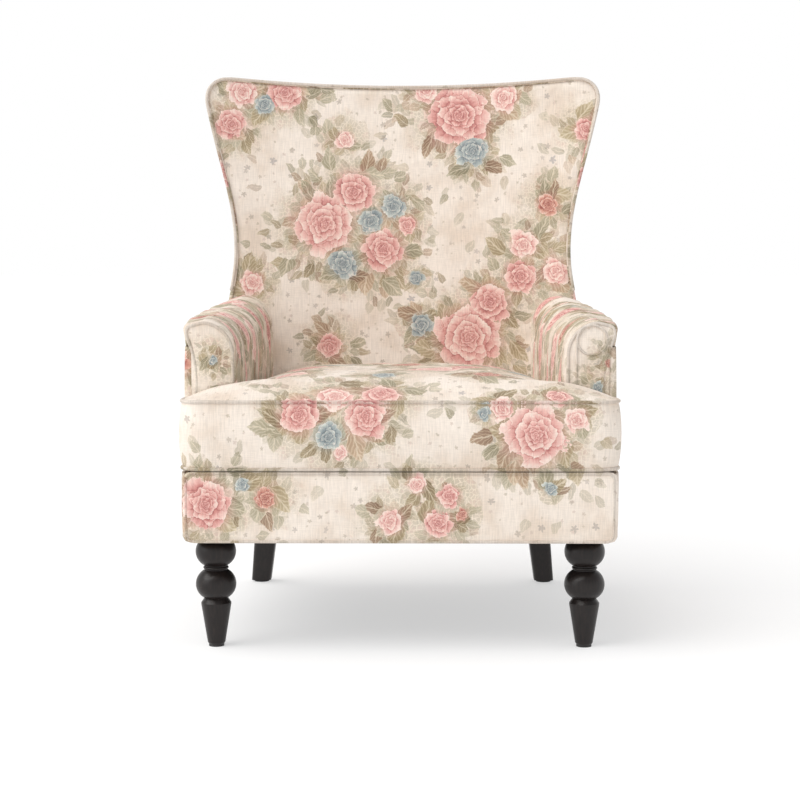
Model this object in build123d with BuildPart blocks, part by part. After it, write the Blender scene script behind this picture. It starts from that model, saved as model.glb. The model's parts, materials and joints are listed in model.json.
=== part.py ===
"""An upholstered armchair with a flared, curved back, low rolled arms, a loose T-shaped seat
cushion, two turned front legs and two raked rear legs.

Millimetres. +X is to the right of someone who faces the chair, +Y runs from its front to its
back, +Z is up. The origin is on the floor, in the middle of the chair's outline. "Left" is -X.
"""

import os
from math import cos, radians, sin, sqrt, tan

from build123d import *

# ---------------------------------------------------------------- overall
DEPTH = 785.25
FRONT = -DEPTH / 2
TINY = 0.3  # the gap between pieces that only meet

# heights
GLIDE_H = 4.0
PANEL_BOTTOM = 185.0  # lower edge of the upholstered base
LEG_TOP = 186.0
FRAME_BOTTOM = 189.0
RAIL_TOP = 276.0
DECK_BOTTOM, DECK_TOP = 284.0, 304.0
BORDER_TOP = 300.0
CUSHION_BOTTOM, CUSHION_EDGE = 305.0, 423.0
CUSHION_CROWN = 457.0
TUCK_TOP = 399.0  # below it the inside back is only a pull-through cloth

# ---------------------------------------------------------------- base and arms, in plan
BASE_HALF = 361.0  # half width of the front border
SIDE_MAX, SIDE_MAX_AT, SIDE_RADIUS = 368.0, 170.0, 2440.0  # the bowed outside of base and arms
PANEL_T = 8.0
BORDER_FACE, BORDER_BACK = 5.0, 14.0
RAIL_T = 22.0
RAIL_FRONT = 15.0
SIDE_RAIL_FRONT_X, SIDE_RAIL_BACK_X = 352.0, 332.0  # outer faces of a side rail at its two ends
SIDE_RAIL_FRONT, SIDE_RAIL_BACK = RAIL_FRONT + RAIL_T + TINY, 562.0

ARM_FACE = 94.0  # front of an arm's front panel
ARM_START = 102.0  # front of an arm's pad
ARM_BACK = 600.0  # the arm is drawn to here, then cut to the back's face
ARM_IN_FRONT, ARM_IN_BACK = 281.0, 256.0  # inner face of an arm, at ARM_START and at ARM_REAR
ARM_REAR = 560.0
ARM_TOP_FRONT, ARM_TOP_BACK = 554.0, 585.0
ARM_PAD_BOTTOM = 290.0
ARM_PAD_T = 24.0
ARM_ROLL_OUT = 4.0  # how far the roll stands out past the side panel
ARM_LIP = 46.0  # from an arm's top down to the roll's lower edge

# ---------------------------------------------------------------- back
RAKE = 10.0
BACK_RADIUS = 1550.0  # curvature of the inside back in plan
BACK_REF_Z, BACK_REF_Y = 302.0, 561.0  # the inside back's middle, level with the cushion's bottom
PAD_T, FRAME_IN, FRAME_OUT, BACK_T = 44.0, 46.5, 92.0, 100.0
BACK_BASE_HALF, BACK_BASE_TOP = 345.0, 520.0
WAIST_HALF, WAIST_Z = 330.0, 640.0
FLARE = [(341.0, 777.0), (365.0, 871.0)]
CORNER_HALF, CORNER_Z = 400.0, 1020.0
CORNER_ANGLE = 12.0
TOP_MIDDLE_Z = 1001.0
CORNER_R = 38.0
EDGE_T = 8.0  # thickness of the covered edge band
POST_W = 44.0
TOP_RAIL_Z = 938.0

# ---------------------------------------------------------------- cushion, in plan
CUSHION_FRONT, EAR_BACK, CUSHION_BACK = 5.0, 87.0, 555.0
EAR_HALF = 365.0
ARM_GAP = 6.5
COVER_T = 2.0
WELT_R = 3.0
FRONT_CORNER_R, EAR_CORNER_R, NOTCH_R = 36.0, 24.0, 12.0

# ---------------------------------------------------------------- legs
FRONT_LEG_X, FRONT_LEG_Y = 313.0, 60.0
REAR_LEG_TOP = (264.0, 580.0)
REAR_LEG_FOOT = (288.0, 656.0)
REAR_TOP_SIDE, REAR_FOOT_SIDE, REAR_LEG_R = 48.0, 39.0, 9.0
BOLT_R, BOLT_HOLE_R = 4.0, 4.1
BOLT_DOWN, BOLT_UP = 45.0, 40.0
PLATE_SIDE, PLATE_HOLE_AT = 50.0, 18.0

SIDES = {"left": -1, "right": 1}
RAKE_DIR = Vector(0, sin(radians(RAKE)), cos(radians(RAKE)))
DRAW_TOP = 1100.0  # higher than anything
DRAW_HALF = 450.0  # further out than anything


def at(distance):
    """The Y of a place that is so far behind the chair's front."""
    return FRONT + distance


def save(part, name):
    part.label = name
    export_step(part, f"parts/{name}.step")


# ================================================================ shared shapes
def back_y(z):
    """How far behind the front the middle of the inside back is, at height z."""
    return BACK_REF_Y + (z - BACK_REF_Z) * tan(radians(RAKE))


def back_layer(inner, outer, bottom=PANEL_BOTTOM):
    """A curved, raked sheet that lies from inner to outer behind the inside back's face."""
    centre_y = at(back_y(bottom)) - BACK_RADIUS

    def arc_point(depth, x):
        radius = BACK_RADIUS + depth
        return (x, centre_y + sqrt(radius**2 - x**2))

    with BuildPart() as layer:
        with BuildSketch(Plane.XY.offset(bottom)):
            with BuildLine():
                near = ThreePointArc(*[arc_point(inner, x) for x in (-DRAW_HALF, 0, DRAW_HALF)])
                far = ThreePointArc(*[arc_point(outer, x) for x in (-DRAW_HALF, 0, DRAW_HALF)])
                Line(near @ 0, far @ 0)
                Line(near @ 1, far @ 1)
            make_face()
        extrude(amount=(DRAW_TOP - bottom) / cos(radians(RAKE)), dir=tuple(RAKE_DIR))
    return layer.part


def back_outline(inset, bottom=PANEL_BOTTOM):
    """The back's outline seen from the front, inset all round but at its lower edge."""
    corner = (CORNER_HALF - inset, CORNER_Z - inset)
    lean = radians(CORNER_ANGLE)
    with BuildSketch(Plane.XZ) as outline:
        with BuildLine():
            top = TangentArc((0, TOP_MIDDLE_Z - inset), corner, tangent=(1, 0))
            side = Spline(
                corner,
                *[(x - inset, z) for x, z in reversed(FLARE)],
                (WAIST_HALF - inset, WAIST_Z),
                (BACK_BASE_HALF - inset, BACK_BASE_TOP),
                tangents=[(-sin(lean), -cos(lean)), (0, -1)],
            )
            foot = Line(side @ 1, (BACK_BASE_HALF - inset, bottom))
            Line(foot @ 1, (0, bottom))
            mirror(about=Plane.YZ)
        make_face()
        corners = outline.vertices().filter_by(lambda v: abs(v.Y - corner[1]) < 1 and abs(v.X) > 100)
        fillet(corners, CORNER_R - inset / 2)
    return outline.sketch


def behind_back(depth=0.0):
    """Everything behind the inside back's face, or behind a layer at that depth."""
    return back_layer(depth, 400.0)


def through(sketch):
    """A front-view sketch drawn out through the whole chair."""
    with BuildPart() as block:
        extrude(sketch, amount=DEPTH, both=True)
    return block.part


def front_box(x0, x1, z0, z1):
    """A block through the whole chair, given by its edges seen from the front."""
    with BuildPart() as block:
        with BuildSketch(Plane.XZ):
            with Locations(((x0 + x1) / 2, (z0 + z1) / 2)):
                Rectangle(x1 - x0, z1 - z0)
        extrude(amount=DEPTH, both=True)
    return block.part


def half_box(side, top):
    """Everything on one side of the middle and below top."""
    return front_box(min(0, side * DRAW_HALF), max(0, side * DRAW_HALF), 0, top)


def plan_slab(points, bottom, top):
    """An upright slab over a plan polygon, whose points say how far behind the front they are."""
    with BuildPart() as slab:
        with BuildSketch(Plane.XY.offset(bottom)):
            with BuildLine():
                Polyline(*[(x, at(y)) for x, y in points], close=True)
            make_face()
        extrude(amount=top - bottom)
    return slab.part


def tube(path, radius):
    """A round cord along a wire."""
    with BuildPart() as cord:
        with BuildSketch(Plane(origin=path @ 0, z_dir=path % 0)):
            Circle(radius)
        sweep(path=path)
    return cord.part


def piping(points, radius=WELT_R):
    """A round cord through points: straight runs joined by the largest arcs that fit."""
    kept = [points[0]]
    for a, b, c in zip(points, points[1:], points[2:]):
        if (b - a).get_angle(c - b) > 0.3:
            kept.append(b)
    kept.append(points[-1])
    radii = []
    for a, b, c in zip(kept, kept[1:], kept[2:]):
        turn = radians((b - a).get_angle(c - b))
        radii.append(0.45 * min((b - a).length, (c - b).length) / tan(turn / 2))
    with BuildLine() as line:
        FilletPolyline(*kept, radius=radii)
    return tube(Wire(line.line.edges()), radius)


def side_x(y):
    """Half width of the bowed outside of base and arms, so far behind the front."""
    return SIDE_MAX - SIDE_RADIUS + sqrt(SIDE_RADIUS**2 - (y - SIDE_MAX_AT) ** 2)


def arm_inner_x(y):
    share = (y - ARM_START) / (ARM_REAR - ARM_START)
    return ARM_IN_FRONT + (ARM_IN_BACK - ARM_IN_FRONT) * share


def arm_top_z(y):
    share = (y - ARM_START) / (ARM_REAR - ARM_START)
    return ARM_TOP_FRONT + (ARM_TOP_BACK - ARM_TOP_FRONT) * share


# ================================================================ wood frame
def front_seat_rail():
    back = RAIL_FRONT + RAIL_T
    half = BASE_HALF - PANEL_T - 1
    points = [(-half, RAIL_FRONT), (half, RAIL_FRONT), (half, back), (-half, back)]
    return plan_slab(points, FRAME_BOTTOM, RAIL_TOP)


def side_rail_plan(side, inner=RAIL_T):
    return [
        (side * SIDE_RAIL_FRONT_X, SIDE_RAIL_FRONT),
        (side * SIDE_RAIL_BACK_X, SIDE_RAIL_BACK),
        (side * (SIDE_RAIL_BACK_X - inner), SIDE_RAIL_BACK),
        (side * (SIDE_RAIL_FRONT_X - inner), SIDE_RAIL_FRONT),
    ]


def side_seat_rail(side):
    with BuildPart() as rail:
        add(plan_slab(side_rail_plan(side), FRAME_BOTTOM, RAIL_TOP))
        add(behind_back(FRAME_IN - TINY), mode=Mode.SUBTRACT)
    return rail.part


def bolt_hole(x, y):
    """The clearance for one hanger bolt above the legs."""
    with BuildPart() as hole:
        with Locations((x, at(y), LEG_TOP)):
            Cylinder(BOLT_HOLE_R, BOLT_UP + 2, align=(Align.CENTER, Align.CENTER, Align.MIN))
    return hole.part


def rear_seat_rail():
    inner_half = BACK_BASE_HALF - EDGE_T - TINY - POST_W - TINY
    with BuildPart() as rail:
        add(back_layer(FRAME_IN, FRAME_OUT))
        add(front_box(-inner_half, inner_half, FRAME_BOTTOM, RAIL_TOP), mode=Mode.INTERSECT)
        for side in SIDES.values():
            add(bolt_hole(side * REAR_LEG_TOP[0], REAR_LEG_TOP[1]), mode=Mode.SUBTRACT)
    return rail.part


def corner_blocks():
    """Four glued blocks: the front pair takes the front legs' bolts."""
    low, high = FRAME_BOTTOM, RAIL_TOP - 8
    leg = 90.0
    with BuildPart() as blocks:
        for side in SIDES.values():
            x = side * (SIDE_RAIL_FRONT_X - RAIL_T - 5)
            y = RAIL_FRONT + RAIL_T + TINY
            add(plan_slab([(x, y), (x - side * leg, y), (x, y + leg)], low, high))
            x = side * (SIDE_RAIL_BACK_X - RAIL_T - 1)
            corner = [(x, 440.0), (x, 610.0), (x - side * 110, 610.0)]
            add(plan_slab(corner, low, high))
            add(bolt_hole(side * FRONT_LEG_X, FRONT_LEG_Y), mode=Mode.SUBTRACT)
        add(behind_back(FRAME_IN - TINY), mode=Mode.SUBTRACT)
    return blocks.part


def back_ring():
    """The strip inside the back's edge that the posts and the top rail are sawn from."""
    with BuildPart() as ring:
        add(back_layer(FRAME_IN, FRAME_OUT))
        add(through(back_outline(EDGE_T + TINY, FRAME_BOTTOM)), mode=Mode.INTERSECT)
        add(through(back_outline(EDGE_T + TINY + POST_W, 0)), mode=Mode.SUBTRACT)
    return ring.part


def back_post(side):
    with BuildPart() as post:
        add(back_ring())
        add(half_box(side, TOP_RAIL_Z), mode=Mode.INTERSECT)
    return post.part


def back_top_rail():
    with BuildPart() as rail:
        add(back_ring())
        add(front_box(-DRAW_HALF, DRAW_HALF, TOP_RAIL_Z + TINY, DRAW_TOP), mode=Mode.INTERSECT)
    return rail.part


LINER_LOW, LINER_HIGH = 392.0, 437.0
STILE_HALF = 28.0


def back_liner_rail():
    """The cross rail that the inside back is pulled under."""
    half = BACK_BASE_HALF - EDGE_T - TINY - POST_W - TINY
    with BuildPart() as rail:
        add(back_layer(FRAME_IN, FRAME_OUT))
        add(front_box(-half, half, LINER_LOW, LINER_HIGH), mode=Mode.INTERSECT)
    return rail.part


def back_stile():
    with BuildPart() as stile:
        add(back_layer(FRAME_IN, FRAME_OUT))
        add(front_box(-STILE_HALF, STILE_HALF, LINER_HIGH + TINY, DRAW_TOP), mode=Mode.INTERSECT)
        add(through(back_outline(EDGE_T + POST_W + 2 * TINY, 0)), mode=Mode.INTERSECT)
    return stile.part


# ================================================================ springs, webbing, deck
SPRING_AT = [-220.0, -110.0, 0.0, 110.0, 220.0]
SPRING_HALF, SPRING_PITCH, WIRE_R = 25.0, 20.0, 1.9
SPRING_Z = RAIL_TOP + 3.5
SPRING_FIRST, SPRING_BARS = 24.0, 29
CLIP_SIZE = (18.0, 9.0, 6.0)


def seat_springs():
    """Five sinuous springs: straight bars across, joined by half circles."""
    loop_r = SPRING_PITCH / 2
    reach = SPRING_HALF - loop_r
    with BuildPart() as springs:
        for x in SPRING_AT:
            with BuildLine() as line:
                for bar in range(SPRING_BARS):
                    y = at(SPRING_FIRST + bar * SPRING_PITCH)
                    way = 1 if bar % 2 == 0 else -1
                    start, end = (x - way * reach, y, SPRING_Z), (x + way * reach, y, SPRING_Z)
                    Line(start, end)
                    if bar < SPRING_BARS - 1:
                        bulge = (x + way * (reach + loop_r), y + loop_r, SPRING_Z)
                        ThreePointArc(end, bulge, (x + way * reach, y + SPRING_PITCH, SPRING_Z))
            path = line.wire()
            with BuildSketch(Plane(origin=path @ 0, z_dir=path % 0)):
                Circle(WIRE_R)
            sweep(path=path)
    return springs.part


def spring_clips():
    """A clip at each end of each spring, nailed to the top of a rail."""
    first, last = SPRING_FIRST, SPRING_FIRST + (SPRING_BARS - 1) * SPRING_PITCH
    spots = [(x, at(y), RAIL_TOP) for x in SPRING_AT for y in (first, last)]
    with BuildPart() as clips:
        with Locations(*spots):
            Box(*CLIP_SIZE, align=(Align.CENTER, Align.CENTER, Align.MIN))
        with Locations(*[(x, y, SPRING_Z) for x, y, _ in spots]):
            Cylinder(WIRE_R + 0.15, CLIP_SIZE[0] + 2, rotation=(0, 90, 0), mode=Mode.SUBTRACT)
    return clips.part


STRAP_HALF, STRAP_W = 318.0, 50.0
STRAPS_AT = (500.0, 610.0, 720.0, 830.0)


def strap(z):
    """One strap, curved with the back."""
    with BuildPart() as one:
        add(back_layer(PAD_T + TINY, FRAME_IN - TINY))
        add(front_box(-STRAP_HALF, STRAP_HALF, z - STRAP_W / 2, z + STRAP_W / 2), mode=Mode.INTERSECT)
    return one.part


def back_webbing():
    """Four elastic straps across the back frame."""
    with BuildPart() as webbing:
        for z in STRAPS_AT:
            add(strap(z))
    return webbing.part


def deck_plan(inset=0.0):
    """The T-shaped platform between the arms and in front of them."""
    half = BASE_HALF - PANEL_T - 1 - inset
    step = ARM_FACE + 5
    gap = 1.0 + inset
    right = [
        (half, RAIL_FRONT + inset),
        (half, step),
        (arm_inner_x(step) - gap, step),
        (arm_inner_x(620) - gap, 620),
    ]
    return right + [(-x, y) for x, y in reversed(right)]


def deck_pad():
    with BuildPart() as pad:
        add(plan_slab(deck_plan(), DECK_BOTTOM, DECK_TOP))
        add(behind_back(PAD_T - 5 - TINY), mode=Mode.SUBTRACT)
    return pad.part


def spring_cover():
    """The burlap between springs and deck pad."""
    with BuildPart() as cover:
        add(plan_slab(deck_plan(inset=2.0), DECK_BOTTOM - 1.3, DECK_BOTTOM - TINY))
        add(behind_back(PAD_T - 5 - TINY), mode=Mode.SUBTRACT)
    return cover.part


def dust_cover():
    """The black cloth under the frame, cut out round the leg plates."""
    half_front, half_back = SIDE_RAIL_FRONT_X - 6, SIDE_RAIL_BACK_X - 6
    points = [
        (half_front, RAIL_FRONT + 4),
        (half_back, 540.0),
        (300.0, 600.0),
        (-300.0, 600.0),
        (-half_back, 540.0),
        (-half_front, RAIL_FRONT + 4),
    ]
    cut = PLATE_SIDE + 4
    spots = [(s * FRONT_LEG_X, at(FRONT_LEG_Y)) for s in SIDES.values()]
    spots += [(s * REAR_LEG_TOP[0], at(REAR_LEG_TOP[1])) for s in SIDES.values()]
    with BuildPart() as cover:
        add(plan_slab(points, FRAME_BOTTOM - 1.2, FRAME_BOTTOM - 0.2))
        with Locations(*[(x, y, FRAME_BOTTOM) for x, y in spots]):
            Box(cut, cut, 6, mode=Mode.SUBTRACT)
    return cover.part


# ================================================================ back upholstery
def inside_back_pad():
    with BuildPart() as pad:
        add(back_layer(0, PAD_T))
        add(through(back_outline(0, TUCK_TOP + 1)), mode=Mode.INTERSECT)
    return pad.part


def back_tuck_panel():
    """The cloth that runs on from the inside back, down behind the cushion."""
    with BuildPart() as tuck:
        add(back_layer(PAD_T - 5, PAD_T - 1))
        add(front_box(-250, 250, DECK_TOP + 1, TUCK_TOP), mode=Mode.INTERSECT)
    return tuck.part


def low_band():
    """The front part of the edge cover, beside the cushion, where there is no pad before it."""
    with BuildPart() as low:
        add(back_layer(0.5, PAD_T + 2))
        add(front_box(-DRAW_HALF, DRAW_HALF, PANEL_BOTTOM, TUCK_TOP), mode=Mode.INTERSECT)
    return low.part


def edge_band():
    """The cover over the back's edge, from the inside back's seam to the outside back's."""
    with BuildPart() as band:
        add(back_layer(PAD_T + TINY, BACK_T))
        add(low_band())
        add(through(back_outline(0, PANEL_BOTTOM)), mode=Mode.INTERSECT)
        add(through(back_outline(EDGE_T, 0)), mode=Mode.SUBTRACT)
    return band.part


def back_side_panel(side):
    with BuildPart() as panel:
        add(edge_band())
        add(half_box(side, TOP_RAIL_Z + 30), mode=Mode.INTERSECT)
    return panel.part


def back_top_panel():
    with BuildPart() as panel:
        add(edge_band())
        add(front_box(-DRAW_HALF, DRAW_HALF, TOP_RAIL_Z + 30 + TINY, DRAW_TOP), mode=Mode.INTERSECT)
    return panel.part


def outside_back_panel():
    with BuildPart() as panel:
        add(back_layer(FRAME_OUT + TINY, BACK_T))
        add(through(back_outline(EDGE_T + TINY, PANEL_BOTTOM)), mode=Mode.INTERSECT)
    return panel.part


def on_back_face(x, z, depth=0.0):
    """The point of the inside back's face at x and z."""
    sag = BACK_RADIUS - sqrt(BACK_RADIUS**2 - x**2)
    return (x, at(back_y(z) - sag + depth), z)


def height_round(point):
    """Orders points up a side of the back and then along its top to the middle."""
    return point.Z if point.Z < CORNER_Z - 60 else CORNER_Z + CORNER_HALF - point.X


def back_welt():
    """The piping round the inside back, from one arm up and over to the other."""
    edge = back_outline(-1.0, 300).faces()[0].outer_wire()
    count = 120
    points = [edge @ (i / count) for i in range(count)]
    half = sorted((p for p in points if p.X > 12 and p.Z > ARM_TOP_BACK - 12), key=height_round)
    seam = [on_back_face(p.X, p.Z, 1.0) for p in half]
    seam += [(-x, y, z) for x, y, z in reversed(seam)]
    return piping([Vector(*p) for p in seam])


# ================================================================ arms
def arm_section(y):
    """An arm's padding in cross-section, as corner points for the right-hand arm."""
    inner, outer, top = arm_inner_x(y), side_x(y) + ARM_ROLL_OUT, arm_top_z(y)
    lip = top - ARM_LIP
    return {
        "foot": (inner, ARM_PAD_BOTTOM),
        "shoulder": (inner, top - 62),
        "shoulder_mid": (inner + 15, top - 19),
        "crest": (inner + 56, top),
        "brow": (outer - 10, top - 6),
        "brow_mid": (outer - 2, top - 10.5),
        "nose": (outer, top - 19),
        "lip": (outer - ARM_ROLL_OUT, lip),
        "lip_in": (outer - ARM_PAD_T, lip),
        "rail_out": (outer - ARM_PAD_T, top - 24),
        "rail_in": (inner + ARM_PAD_T, top - 24),
        "foot_in": (inner + ARM_PAD_T, ARM_PAD_BOTTOM),
    }


def arm_pad_face(side, y):
    p = {name: (side * x, z) for name, (x, z) in arm_section(y).items()}
    with BuildSketch(Plane.XZ.offset(-at(y))) as face:
        with BuildLine():
            Line(p["foot"], p["shoulder"])
            ThreePointArc(p["shoulder"], p["shoulder_mid"], p["crest"])
            Line(p["crest"], p["brow"])
            ThreePointArc(p["brow"], p["brow_mid"], p["nose"])
            hook = ("nose", "lip", "lip_in", "rail_out", "rail_in", "foot_in", "foot")
            Polyline(*[p[name] for name in hook])
        make_face()
    return face.sketch


def arm_pad(side):
    """The padding from the inside of the arm over its top to the roll on the outside."""
    with BuildPart() as pad:
        loft([arm_pad_face(side, y) for y in (ARM_START, 340.0, ARM_BACK)])
        add(behind_back(-TINY), mode=Mode.SUBTRACT)
    return pad.part


def arm_block(side, y0, y1, low, high, left_gap, right_gap):
    """Wood inside an arm, between its padding and its side panel, following the arm's taper."""

    def corners(y):
        inner = arm_inner_x(y) + ARM_PAD_T + left_gap
        outer = side_x(y) + ARM_ROLL_OUT - ARM_PAD_T - right_gap
        z0 = low if low > 0 else arm_top_z(y) + low
        z1 = arm_top_z(y) + high
        return [(side * inner, z0), (side * outer, z0), (side * outer, z1), (side * inner, z1)]

    with BuildPart() as block:
        for y in (y0, y1):
            with BuildSketch(Plane.XZ.offset(-at(y))):
                with BuildLine():
                    Polyline(*corners(y), close=True)
                make_face()
        loft()
        add(behind_back(-TINY), mode=Mode.SUBTRACT)
    return block.part


RAIL_UNDER, RAIL_OVER = -49.0, -24.5  # an arm rail's faces, from the arm's top


def arm_rail(side):
    return arm_block(side, ARM_START + 10.5, ARM_BACK, RAIL_UNDER, RAIL_OVER, 0.5, 1.5)


def arm_facing(side):
    """The plywood profile that closes an arm's front."""
    return arm_block(side, ARM_START, ARM_START + 10, 305.0, RAIL_OVER, 0.5, 0.5)


def arm_post(side):
    """The stump that carries the arm rail, fixed to the inside of the side rail."""
    y0, y1 = 132.0, 186.0
    inner = arm_inner_x(y0) + ARM_PAD_T + 0.5
    with BuildPart() as post:
        with BuildSketch(Plane.XY.offset(FRAME_BOTTOM + 6)):
            with BuildLine():
                Polyline(
                    (side * inner, at(y0)),
                    (side * 325.5, at(y0)),
                    (side * 323.5, at(y1)),
                    (side * inner, at(y1)),
                    close=True,
                )
            make_face()
        extrude(amount=arm_top_z(y0) + RAIL_UNDER - TINY - FRAME_BOTTOM - 6)
    return post.part


def arm_front_outline(inset):
    """The front panel's outline, as an open wire from one foot to the other."""
    p = arm_section(ARM_START)
    foot = DECK_TOP + 3
    return [
        (p["foot"][0] + inset, foot),
        (p["shoulder"][0] + inset, p["shoulder"][1]),
        (p["shoulder_mid"][0] + inset * 0.8, p["shoulder_mid"][1] - inset * 0.7),
        (p["crest"][0], p["crest"][1] - inset),
        (p["brow"][0] - inset * 0.5, p["brow"][1] - inset),
        (p["nose"][0] - inset, p["nose"][1] - inset * 0.5),
        (p["lip"][0] - inset - 5, p["lip"][1]),
        (p["lip"][0] - inset - 6, foot),
    ]


def arm_front_lines(side, inset):
    a, b, c, d, e, f, g, h = [(side * x, z) for x, z in arm_front_outline(inset)]
    Line(a, b)
    ThreePointArc(b, c, d)
    Line(d, e)
    TangentArc(e, f, tangent=(side, -0.1))
    Spline(f, g, h, tangents=[(-side * 0.25, -1), (0, -1)])
    return a, h


def arm_front_panel(side):
    with BuildPart() as panel:
        with BuildSketch(Plane.XZ.offset(-at(ARM_START - TINY))):
            with BuildLine():
                a, h = arm_front_lines(side, 6.0)
                Line(h, a)
            make_face()
        extrude(amount=ARM_START - TINY - ARM_FACE)
    return panel.part


def arm_welt(side):
    """The piping round an arm's front panel."""
    with BuildLine() as line:
        arm_front_lines(side, 5.0)
    seam = Wire(line.line.edges())
    count = 36
    spots = [seam @ (i / count) for i in range(count + 1)]
    return piping([Vector(p.X, at(ARM_FACE + 2), p.Y) for p in spots])


def outside_arm_panel(side):
    """The bowed board down the outside of arm and base."""
    y0, y1 = BORDER_BACK + TINY, 580.0

    def arc(inset):
        return [(side * (side_x(y) - inset), at(y)) for y in (y0, (y0 + y1) / 2, y1)]

    lip_front, lip_back = [arm_top_z(y) - ARM_LIP - TINY for y in (ARM_START, y1)]
    with BuildPart() as panel:
        with BuildSketch(Plane.XY.offset(PANEL_BOTTOM)):
            with BuildLine():
                outer = ThreePointArc(*arc(0))
                inner = ThreePointArc(*arc(PANEL_T))
                Line(outer @ 0, inner @ 0)
                Line(outer @ 1, inner @ 1)
            make_face()
        extrude(amount=lip_back + 20 - PANEL_BOTTOM)
        with BuildSketch(Plane.YZ):
            with BuildLine():
                Polyline(
                    (at(y0), PANEL_BOTTOM),
                    (at(y0), BORDER_TOP),
                    (at(ARM_START), BORDER_TOP),
                    (at(ARM_START), lip_front),
                    (at(y1), lip_back),
                    (at(y1), PANEL_BOTTOM),
                    close=True,
                )
            make_face()
        extrude(amount=DRAW_HALF, both=True, mode=Mode.INTERSECT)
        add(behind_back(-TINY), mode=Mode.SUBTRACT)
    return panel.part


# ================================================================ base upholstery
def front_border():
    with BuildPart() as border:
        with BuildSketch(Plane.XY.offset(PANEL_BOTTOM)):
            with Locations((0, at((BORDER_FACE + BORDER_BACK) / 2))):
                Rectangle(2 * BASE_HALF, BORDER_BACK - BORDER_FACE)
        extrude(amount=BORDER_TOP - PANEL_BOTTOM)
        front_corners = border.edges().filter_by(Axis.Z).group_by(Axis.Y)[0]
        fillet(front_corners, BORDER_BACK - BORDER_FACE - 0.5)
    return border.part


def base_welt():
    """The piping round the front border."""
    half, low, high = BASE_HALF - 9, PANEL_BOTTOM + WELT_R, BORDER_TOP - WELT_R
    with BuildSketch(Plane.XZ.offset(-at(BORDER_FACE))) as frame:
        with Locations((0, (low + high) / 2)):
            RectangleRounded(2 * half, high - low, 10)
    return tube(frame.sketch.wire(), WELT_R)


# ================================================================ cushion
def cushion_plan(inset):
    """The T-shaped outline of the seat cushion."""
    neck = EAR_BACK - inset
    right = [
        (EAR_HALF - inset, CUSHION_FRONT + inset),
        (EAR_HALF - inset, neck),
        (arm_inner_x(neck) - ARM_GAP - inset, neck),
        (arm_inner_x(CUSHION_BACK) - ARM_GAP - inset, CUSHION_BACK - inset),
    ]
    points = right + [(-x, y) for x, y in reversed(right)]
    with BuildSketch() as plan:
        with BuildLine():
            Polyline(*[(x, at(y)) for x, y in points], close=True)
        make_face()

        def in_notch(vertex):
            return abs(vertex.Y - at(neck)) < 1 and abs(vertex.X) < EAR_HALF - inset - 30

        def in_front(vertex):
            return abs(vertex.Y - at(CUSHION_FRONT + inset)) < 1

        def behind_front(vertex):
            return vertex.Y > at(neck) - 1 and not in_notch(vertex)

        fillet(plan.vertices().filter_by(behind_front), EAR_CORNER_R - inset)
        fillet(plan.vertices().filter_by(in_notch), NOTCH_R + inset)
        fillet(plan.vertices().filter_by(in_front), FRONT_CORNER_R - inset)
    return plan.sketch


def cushion_block(inset, low, high):
    with BuildPart() as block:
        with BuildSketch(Plane.XY.offset(low)):
            add(cushion_plan(inset))
        extrude(amount=high - low)
    return block.part


def cushion_crown(inset, low, drop):
    """The cushion's body with its crowned top, a step lower by drop and smaller by inset."""
    edge_z = CUSHION_EDGE - drop
    top_z = CUSHION_CROWN - drop
    shoulder = 14.0
    with BuildPart() as crown:
        add(cushion_block(inset, low, edge_z))
        with BuildSketch(Plane.XY.offset(edge_z)):
            add(cushion_plan(inset))
        extrude(amount=shoulder, taper=45)
        with BuildSketch(Plane.XY.offset(edge_z + shoulder)):
            with Locations((0, at(310))):
                RectangleRounded(460 - 2 * inset, 440 - 2 * inset, 60)
        with BuildSketch(Plane.XY.offset(top_z)):
            with Locations((0, at(310))):
                RectangleRounded(300 - 2 * inset, 250 - 2 * inset, 60)
        loft()
    return crown.part


SKIN_GAP = 0.2
RIM_LOW, RIM_HIGH = CUSHION_BOTTOM + COVER_T, CUSHION_EDGE - COVER_T
ZIP_HALF = 215.0
ZIP_BOX_FRONT = 520.0  # the zipped strip turns both rear corners and ends here


def cushion_core():
    """Foam with its wrap, inside the cover."""
    return cushion_crown(COVER_T + SKIN_GAP, RIM_LOW + SKIN_GAP, COVER_T + SKIN_GAP)


def cushion_top_cover():
    with BuildPart() as cover:
        add(cushion_crown(0, RIM_HIGH + SKIN_GAP, 0))
        add(cushion_crown(COVER_T, RIM_HIGH - 30, COVER_T), mode=Mode.SUBTRACT)
    return cover.part


def cushion_bottom_cover():
    return cushion_block(0, CUSHION_BOTTOM, RIM_LOW - SKIN_GAP)


def cushion_rim():
    with BuildPart() as rim:
        add(cushion_block(0, RIM_LOW, RIM_HIGH))
        add(cushion_block(COVER_T, RIM_LOW - 5, RIM_HIGH + 5), mode=Mode.SUBTRACT)
    return rim.part


def rear_of_cushion(start):
    with BuildPart() as block:
        with Locations((0, at(start), 0)):
            Box(900, 300, 1200, align=(Align.CENTER, Align.MIN, Align.MIN))
    return block.part


def cushion_boxing():
    """The band round the cushion's front and sides."""
    with BuildPart() as boxing:
        add(cushion_rim())
        add(rear_of_cushion(ZIP_BOX_FRONT - SKIN_GAP), mode=Mode.SUBTRACT)
    return boxing.part


ZIP_Z = 374.0
ZIP_BACK = CUSHION_BACK
COIL_H, COIL_T = 6.0, 2.0
TAPE_H, TAPE_T = 26.0, 1.0


def cushion_zip_boxing():
    """The rear band, in two strips that the zip joins."""
    with BuildPart() as boxing:
        add(cushion_rim())
        add(rear_of_cushion(ZIP_BOX_FRONT), mode=Mode.INTERSECT)
    return boxing.part


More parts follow.
